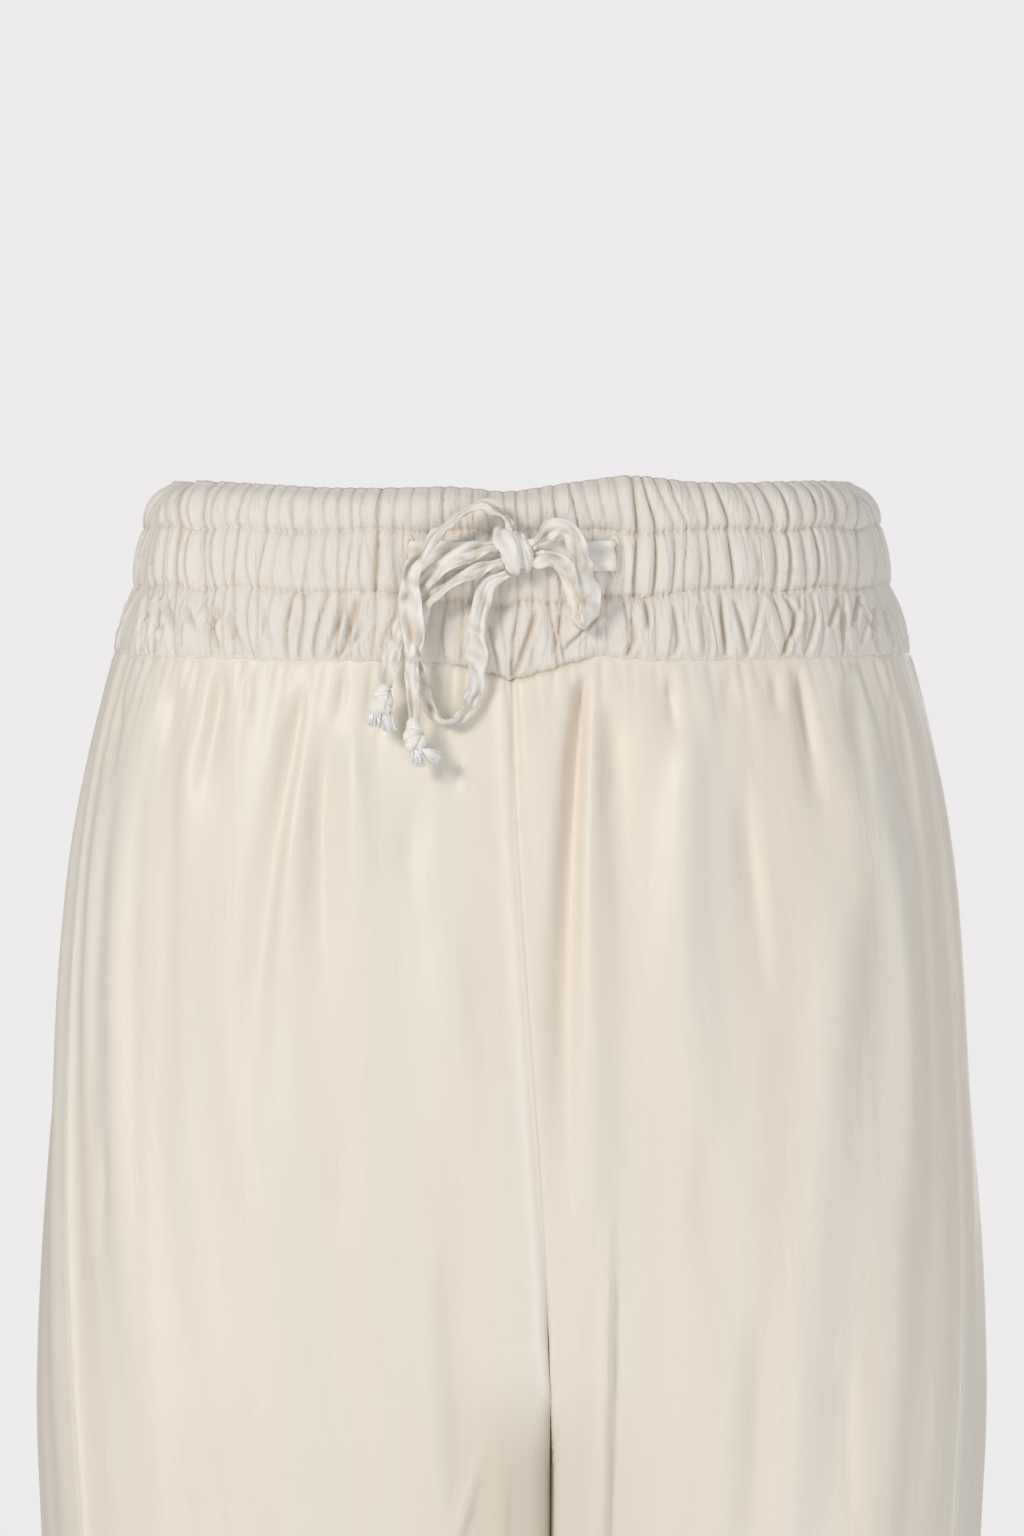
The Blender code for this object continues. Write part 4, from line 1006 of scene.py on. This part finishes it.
# Folds of each panel, in millimetres: heights where they begin and end, how far they lie from the centre line at
# their top, middle and foot, how wide they are, how far they rise (a trough is below zero), and which way the
# steeper side faces (-1 towards the wearer's right, 1 towards the left, 0 even).
leg_folds = {
    ("front", 1): (
        (-70, -335, 27.8, 21.8, 22.5, 5.5, -3.4, 0.4), (-84, -310, 31.0, 30.0, 31.5, 7.0, 2.0, -0.3),
        (-78, -215, 39.5, 39.5, 45.0, 9.0, -1.8, 0.0), (-68, -102, 60.8, 62.0, 64.0, 2.4, -1.5, 0.3),
        (-84, -270, 69.0, 64.5, 60.0, 11.0, 2.4, 0.0), (-68, -98, 84.0, 84.5, 84.0, 4.0, -1.2, 0.0),
        (-98, -225, 88.5, 94.0, 99.5, 6.0, -2.6, 0.4), (-68, -96, 102.0, 103.0, 104.0, 2.6, -1.2, 0.0),
        (-68, -140, 111.0, 117.5, 121.5, 4.2, -2.6, 0.3), (-70, -130, 131.7, 136.0, 139.5, 5.5, -1.7, 0.2),
        (-76, -150, 149.5, 155.0, 159.0, 5.0, -1.9, 0.2), (-145, -310, 144.0, 144.0, 143.0, 12.0, -1.1, 0.0),
        (-130, -360, 124.0, 125.0, 118.0, 12.0, 2.0, 0.0), (-275, -560, 38.2, 34.5, 30.0, 3.2, 1.9, 0.75),
        (-235, -345, 76.0, 75.0, 74.0, 9.0, -1.3, 0.0), (-310, -470, 95.0, 95.0, 93.0, 9.0, -1.5, 0.0),
        (-330, -430, 129.0, 129.0, 128.0, 8.0, -1.2, 0.5), (-480, -960, 60.0, 64.0, 66.0, 11.0, -3.2, 0.2),
        (-450, -900, 82.0, 84.0, 88.0, 12.0, 2.8, 0.0), (-520, -985, 108.0, 108.0, 106.0, 10.0, -3.0, -0.2),
        (-600, -985, 130.0, 128.0, 126.0, 9.0, 2.4, 0.0),
    ),
    ("front", -1): (
        (-76, -130, -152.6, -157.0, -160.5, 4.5, -1.3, 0.0),
        (-72, -125, -132.0, -135.5, -138.5, 6.0, -1.8, -0.2),
        (-68, -132, -113.8, -118.0, -120.5, 4.5, -2.6, -0.3),
        (-68, -98, -103.0, -103.2, -103.5, 2.6, -1.4, 0.0), (-74, -265, -80.5, -95.0, -101.5, 5.5, -2.8, 0.4),
        (-96, -260, -82.0, -86.0, -90.0, 9.0, 2.0, 0.0), (-68, -93, -65.3, -66.0, -67.2, 2.1, -1.2, 0.0),
        (-84, -215, -60.8, -60.0, -59.0, 7.5, 2.4, 0.0), (-86, -220, -70.9, -75.5, -71.0, 6.0, -1.8, 0.0),
        (-102, -128, -21.0, -22.0, -23.5, 3.0, -0.9, 0.0), (-112, -175, -38.0, -39.5, -40.0, 6.5, -1.7, 0.0),
        (-150, -290, -25.0, -24.0, -22.0, 10.0, 1.6, 0.0), (-200, -330, -86.0, -87.0, -86.0, 12.0, 1.7, 0.0),
        (-88, -170, -125.5, -127.5, -129.0, 8.0, 1.7, 0.0), (-230, -360, -70.0, -69.5, -68.0, 8.0, -1.4, 0.0),
        (-250, -320, -159.0, -160.0, -160.0, 4.0, -0.9, 0.0),
        (-255, -470, -26.0, -18.0, -12.0, 9.0, -2.0, -0.2), (-366, -450, -8.0, -20.0, -34.0, 2.6, 1.7, 0.5),
        (-364, -470, -1.5, -4.5, -12.0, 2.4, 1.5, 0.4), (-340, -480, -115.0, -113.0, -112.0, 10.0, -1.3, 0.4),
        (-470, -940, -58.0, -62.0, -66.0, 11.0, -3.0, -0.2),
        (-430, -900, -84.0, -86.0, -88.0, 12.0, 2.8, 0.0),
        (-540, -985, -106.0, -108.0, -108.0, 10.0, -3.2, 0.2),
        (-620, -985, -128.0, -128.0, -126.0, 9.0, 2.2, 0.0),
    ),
    ("back", 1): (
        (-68, -150, 14.0, 16.0, 18.0, 5.0, -2.2, 0.2), (-74, -330, 34.0, 38.0, 42.0, 7.0, -3.0, 0.3),
        (-90, -300, 52.0, 54.0, 55.0, 11.0, 2.4, 0.0), (-68, -110, 63.0, 64.0, 66.0, 3.0, -1.8, 0.0),
        (-72, -240, 78.0, 84.0, 90.0, 6.0, -2.8, 0.3), (-68, -100, 96.0, 97.0, 98.0, 2.8, -1.4, 0.0),
        (-70, -160, 112.0, 117.0, 122.0, 5.0, -2.4, 0.2), (-110, -330, 104.0, 106.0, 108.0, 12.0, 2.2, 0.0),
        (-72, -150, 138.0, 144.0, 148.0, 6.0, -1.8, 0.0), (-260, -520, 66.0, 64.0, 60.0, 10.0, -1.8, 0.0),
        (-340, -470, 20.0, 34.0, 50.0, 3.2, 1.8, 0.4), (-470, -950, 60.0, 62.0, 64.0, 11.0, -3.2, 0.0),
        (-500, -900, 84.0, 84.0, 84.0, 12.0, 2.8, 0.0), (-560, -985, 108.0, 110.0, 110.0, 10.0, -3.0, 0.2),
        (-420, -760, 132.0, 130.0, 128.0, 11.0, 2.2, 0.0),
    ),
    ("back", -1): (
        (-68, -132, -20.0, -21.0, -23.0, 4.0, -2.0, 0.0), (-76, -280, -40.0, -44.0, -47.0, 6.5, -2.8, -0.3),
        (-86, -260, -27.0, -29.0, -31.0, 10.0, 2.0, 0.0), (-68, -104, -58.0, -59.0, -60.0, 2.8, -1.6, 0.0),
        (-78, -350, -72.0, -76.0, -80.0, 7.0, -3.0, -0.2), (-96, -310, -94.0, -95.0, -96.0, 11.0, 2.4, 0.0),
        (-68, -150, -106.0, -110.0, -114.0, 4.6, -2.4, 0.0),
        (-74, -210, -126.0, -132.0, -137.0, 6.0, -2.2, -0.2),
        (-72, -140, -146.0, -150.0, -153.0, 5.0, -1.6, 0.0),
        (-300, -560, -62.0, -60.0, -56.0, 10.0, -1.7, 0.0), (-350, -460, -24.0, -40.0, -54.0, 3.0, 1.7, -0.4),
        (-480, -985, -64.0, -66.0, -68.0, 11.0, -3.0, 0.0), (-450, -880, -90.0, -90.0, -88.0, 12.0, 2.6, 0.0),
        (-580, -985, -112.0, -112.0, -110.0, 10.0, -3.2, -0.2),
        (-640, -985, -134.0, -130.0, -128.0, 9.0, 2.2, 0.0),
    ),
}


def leg_panel(face, hand, seed):
    """The places of one leg panel, from its centre seam to its side seam and from the band down to the hem, with
    its painted light and shade: painted shade in its fold troughs, gathers and seams and between the legs, and a
    painted highlight on its fold ridges, under the band, beside the centre seam and on its pressed side seam."""
    chance = random.Random(seed)
    stretches = ((leg_top, -0.080, 12), (-0.080, -0.140, 22), (-0.140, -0.440, 70), (-0.440, hem, 74))
    heights = np.concatenate([np.linspace(*stretch)[1 if i else 0 :] for i, stretch in enumerate(stretches)])
    key_shares = (0.0, 0.12, 0.3125, 1.0)
    edge = np.array((0.0, 0.0014, 0.0032, 0.0055, 0.0085))
    share = np.concatenate([edge, np.linspace(0.0125, 0.9875, 142), 1.0 - edge[::-1]])
    pleats = []
    at = 0.012
    while at < 0.99:
        pleats.append((at, chance.uniform(0.3, 1.0), chance.uniform(0.006, 0.030), chance.uniform(-0.02, 0.02)))
        at += chance.uniform(0.018, 0.055)
    # Softer hanging folds between the ones above: place across, heights, width and rise in millimetres, and drift.
    hanging = []
    for low, high, begins, ends, count in ((0.70, 0.98, -0.072, -0.40, 5), (0.17, 0.97, -0.40, -0.97, 9)):
        for k in range(count):
            hanging.append(
                (
                    low + (high - low) * (k + chance.uniform(0.2, 0.8)) / count,
                    begins - chance.uniform(0.0, 0.12 if begins < -0.2 else 0.03),
                    ends + chance.uniform(0.0, 0.18),
                    chance.uniform(4.0, 9.0),
                    chance.choice((-1.0, 1.0)) * chance.uniform(0.9, 1.8),
                    chance.uniform(-0.04, 0.04),
                )
            )
    waves = [
        (chance.uniform(0.0035, 0.011), chance.uniform(0.0, 6.3), chance.uniform(0.05, 0.16)) for _ in range(12)
    ]
    places, spans, painted_light_values = [], [], []
    for z in heights:
        points, along, side, front, back, side_seam, inner_front, inner_back, widest = leg_cut(z)
        if face == "front":
            key_places = (0.0, *inner_front, side_seam - seam_gap)
        else:
            key_places = (along[-1], *inner_back, side_seam + seam_gap)
        distance = np.interp(share, key_shares, key_places)
        at, out = set_out(points, along, distance)
        swung = 0.015 * float(eased((leg_top - z) / (leg_top - crotch)) * (1.0 - eased((crotch - z) / 0.5)))
        rise = np.zeros(len(share))
        for begins, ends, top_x, middle_x, foot_x, width, height, lean in leg_folds[face, hand]:
            length = (begins - ends) * mm
            t = (begins * mm - z) / length
            if not 0.0 < t < 1.0:
                continue
            x = ((1 - t) * (1 - 2 * t) * top_x + 4 * t * (1 - t) * middle_x + t * (2 * t - 1) * foot_x) * mm
            x = abs(x - swung * (1.0 - (x / side) ** 2))
            if face == "front":
                centre = np.interp(x, points[:widest, 0], along[:widest])
            else:
                centre = np.interp(x, points[:widest:-1, 0], along[:widest:-1])
            off = (distance - centre) * (1.0 if face == "front" else -1.0) * hand * 1000.0
            from_seam = begins > -92
            spread = width * ((0.32 + 0.95 * math.sqrt(t)) if from_seam else (0.75 + 0.40 * t))
            reach = spread * (1.0 - 0.7 * lean * np.tanh(off / (0.4 * spread)))
            begun = 0.013 + 0.0010 * max(0, -70 - begins) if from_seam else min(0.060, 0.45 * length)
            strength = (1.75 if from_seam else 1.6) * (1.25 if hand > 0 else 1.0)
            fade = eased(t * length / begun) * eased((1.0 - t) / 0.75)
            rise += strength * height * mm * fade * bell(off, reach)
        from_centre, from_side = np.abs(distance - key_places[0]), np.abs(distance - key_places[-1])
        for where, begins, ends, width, height, drift in hanging:
            t = (begins - z) / (begins - ends)
            if 0.0 < t < 1.0:
                off = (distance - np.interp(where + drift * t, key_shares, key_places)) * 1000.0
                swell = eased(t / 0.35) * eased((1.0 - t) / 0.5)
                rise += height * mm * swell * bell(off, width * (0.7 + 0.5 * t))
        loose = 0.00022 + 0.00018 * float(eased((-0.42 - z) / 0.25))
        for length, phase, turn in waves:
            rise += loose * np.sin((distance - side_seam) / length + phase + 0.7 * np.sin(z / turn + phase))
        facing = eased(-1.5 * out[:, 0])
        rise *= (1.0 - facing) * np.clip(np.minimum(share, 1.0 - share) / 0.03, 0.0, 1.0)
        fallen = leg_top - z
        gathers = np.zeros(len(share))
        sewn_share = from_centre / (from_centre + from_side)
        for place, depth, length, drift in pleats:
            where = place + drift * fallen / 0.05
            narrow = 0.0055 + 0.10 * fallen
            gathers -= depth * math.exp(-fallen / length) * bell(sewn_share - where, narrow)
        gathers *= np.clip(np.minimum(share, 1.0 - share) / 0.02, 0.0, 1.0)
        rise += 0.0017 * gathers + 0.0004 * math.exp(-fallen / 0.012)
        at_seam = bell(fallen, 0.0014)
        line = v_line(at[:, 0] * hand) * at_seam if face == "front" else 0.0
        relief = np.clip(rise, -0.006, 0.003)
        rise = rise * (1.0 - at_seam) + 0.0001 * at_seam - 0.0005 * line
        seam_wave = 0.00022 * (math.sin(z / 0.0021) + math.sin(z / 0.0034 + 1.0))
        rise += (1.0 - facing) * seam_wave * np.exp(-from_centre / 0.006)
        rise += 0.5 * seam_wave * np.exp(-from_side / 0.004)
        rise -= (1.0 - facing) * 0.0011 * bell(from_centre, 0.0011)
        rise -= 0.0009 * bell(from_side, 0.0009)
        # Painted light and shade: the fold troughs and gathers darker and the ridges paler, painted shade along the
        # centre seam, the V and the side seam, and a painted highlight just under the band.
        painted_light_and_shade = (14.0 * relief - 0.25 * bell(from_centre, 0.0008)) * (1.0 - facing) - 0.40 * line
        painted_light_and_shade = painted_light_and_shade + 0.15 * at_seam * (1.0 - line) + 0.20 * gathers - 0.15 * bell(from_side, 0.0006)
        if face == "front":
            # A ridge beside the pressed side seam, with a painted highlight on it.
            rise += 0.0011 * bell(from_side - 0.0026, 0.0013)
            painted_light_and_shade = painted_light_and_shade + 0.7 * bell(from_side - 0.0026, 0.0014)
            # Painted warm shade between the legs below the crotch, deeper on the wearer's right leg.
            shade_between_legs = float(eased((-0.335 - z) / 0.055) * (1.0 - eased((-0.44 - z) / 0.10)))
            from_fork = np.maximum(distance - inner_front[0], 0.0)
            painted_light_and_shade = painted_light_and_shade - (0.52 if hand < 0 else 0.18) * shade_between_legs * bell(from_fork, 0.026)
            # On the wearer's right leg, a ridge beside the centre seam with a painted highlight on it.
            if hand < 0:
                rise += 0.0007 * bell(from_centre - 0.0042, 0.0024)
                painted_light_and_shade = painted_light_and_shade + 0.6 * bell(from_centre - 0.0036, 0.0024) * (1.0 - facing)
        at = at + out * rise[:, None]
        x = at[:, 0] * hand
        drop = (0.0045 if face == "front" else 0.0020) * (at[:, 1] / (front if face == "front" else back)) ** 2
        if face == "front":
            drop = drop - seam_dip(x)
        drop = drop * bell(fallen, 0.060)
        x = x + swung * (1.0 - (at[:, 0] / side) ** 2)
        places.append(np.c_[x, at[:, 1], z - drop])
        spans.append(np.c_[np.interp(share, key_shares, (0.0, 0.006, 0.056, 0.24)) * hand, np.full(len(share), z)])
        painted_light_values.append(np.clip(painted_light_and_shade, -1.0, 1.0))
    return np.array(places), np.array(spans), np.array(painted_light_values), out


# The seam allowance behind the band, and the hem turned up inside: how far in from the cloth each row of points is,
# and how far up.
seam_allowance = ((0.0034, 0.0055), (0.0028, 0.0028), (0.0014, 0.0007))
turned_hem = (
    (0.0003, -0.0006), (0.0010, -0.0010), (0.0018, -0.0005), (0.0021, 0.0010), (0.0018, 0.0090), (0.0016, 0.0240),
)


def turned_in(places, spans, painted_light_values, out, hand):
    """Adds the seam allowance that goes up behind the band, and the hem, turned up inside."""
    outward = places[0] - (0.06 * hand, 0.0, 0.0)
    outward[:, 2] = 0.0
    outward /= np.linalg.norm(outward, axis=1)[:, None]
    above = [places[0] - outward * inward + (0.0, 0.0, up) for inward, up in seam_allowance]
    way = np.c_[out[:, 0] * hand, out[:, 1], np.zeros(len(out))]
    below = [places[-1] - way * inward + (0.0, 0.0, up) for inward, up in turned_hem]
    places = np.concatenate([np.array(above), places, np.array(below)])
    spans, painted_light_values = (
        np.concatenate([np.repeat(rows[:1], len(above), axis=0), rows, np.repeat(rows[-1:], len(below), axis=0)])
        for rows in (spans, painted_light_values)
    )
    return places, spans, painted_light_values


hem_settings = []
for face, hand, word, seed in (
    ("front", 1, "left", 21),
    ("front", -1, "right", 22),
    ("back", 1, "left", 23),
    ("back", -1, "right", 24),
):
    places, spans, painted_light_values, out = leg_panel(face, hand, seed)
    places, spans, painted_light_values = turned_in(places, spans, painted_light_values, out, hand)
    for start, end in stitch_ends(places[-len(turned_hem) - 3], 0.001, 0.003, 0.0034, 0.0024):
        way = (end - start).cross(Vector((0.0, 0.0, 1.0))).normalized()
        if (way.x * (start.x - 0.09 * hand) + way.y * start.y) < 0.0:
            way = -way
        hem_settings.append(laid_along(start + way * 0.0001, end + way * 0.0001, way, 0.0004))
    if (hand < 0) != (face == "front"):
        places, spans, painted_light_values = places[::-1], spans[::-1], painted_light_values[::-1]
    piece = grid_cloth(f"{face}_{word}_leg_cloth", places, spans, 0.0005, leg_satin, painted_light_values)
    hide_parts(f"{face}_{word}_leg")
    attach(piece, "root")
hem_stitches = copies_of(one_stitch, "hem_stitches", hem_settings, ecru)
bpy.data.objects.remove(one_stitch)
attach(hem_stitches, "root")


# The studio: a wide round floor that the hems just clear, plain pale light all round, and a soft key light high on
# the wearer's right.
bpy.ops.object.select_all(action="DESELECT")
bpy.ops.mesh.primitive_circle_add(vertices=96, radius=3.0, fill_type="NGON", location=(0.0, 0.0, -1.0))
floor = bpy.context.object
floor.name = "studio_floor"
floor_paint = bpy.data.materials.new("studio_floor_paint")
floor_paint.use_nodes = True
paint = {"Base Color": (0.80, 0.79, 0.79, 1.0), "Roughness": 0.9}
fill(floor_paint.node_tree, floor_paint.node_tree.nodes["Principled BSDF"], paint)
floor.data.materials.append(floor_paint)

room = bpy.data.worlds.new("studio_room")
room.use_nodes = True
bpy.context.scene.world = room
around = room.node_tree
seen = fill(around, around.nodes["Background"], {"Color": (0.845, 0.828, 0.838, 1.0), "Strength": 1.0})
lit = node(around, "Background", {"Color": (0.90, 0.94, 1.0, 1.0), "Strength": 0.38})
in_camera = node(around, "LightPath", {}).outputs["Is Camera Ray"]
which = node(around, "MixShader", {"Fac": in_camera, 1: lit.outputs[0], 2: seen.outputs[0]})
fill(around, around.nodes["World Output"], {"Surface": which.outputs[0]})


def studio_light(name, place, aim, size, watts, colour):
    """A square soft light, aimed at a point."""
    bpy.ops.object.select_all(action="DESELECT")
    bpy.ops.object.light_add(type="AREA", location=place)
    lamp = bpy.context.object
    lamp.name = name
    lamp.data.size = size
    lamp.data.energy = watts
    lamp.data.color = colour
    lamp.rotation_euler = (Vector(aim) - Vector(place)).to_track_quat("-Z", "Y").to_euler()


studio_light("key_light", (-1.9, -2.4, 1.05), (0.0, 0.0, -0.25), 0.9, 46.0, (1.0, 0.965, 0.91))
studio_light("front_light", (0.5, -3.0, -0.5), (0.0, 0.0, -0.35), 0.9, 12.0, (0.97, 0.985, 1.0))
studio_light("fill_light", (2.9, -0.7, 0.2), (0.0, 0.0, -0.25), 1.6, 16.0, (1.0, 0.98, 0.95))
studio_light("back_light", (0.6, 2.6, 0.4), (0.0, 0.0, -0.25), 1.6, 20.0, (1.0, 0.98, 0.95))
bpy.context.scene.view_settings.view_transform = "Standard"
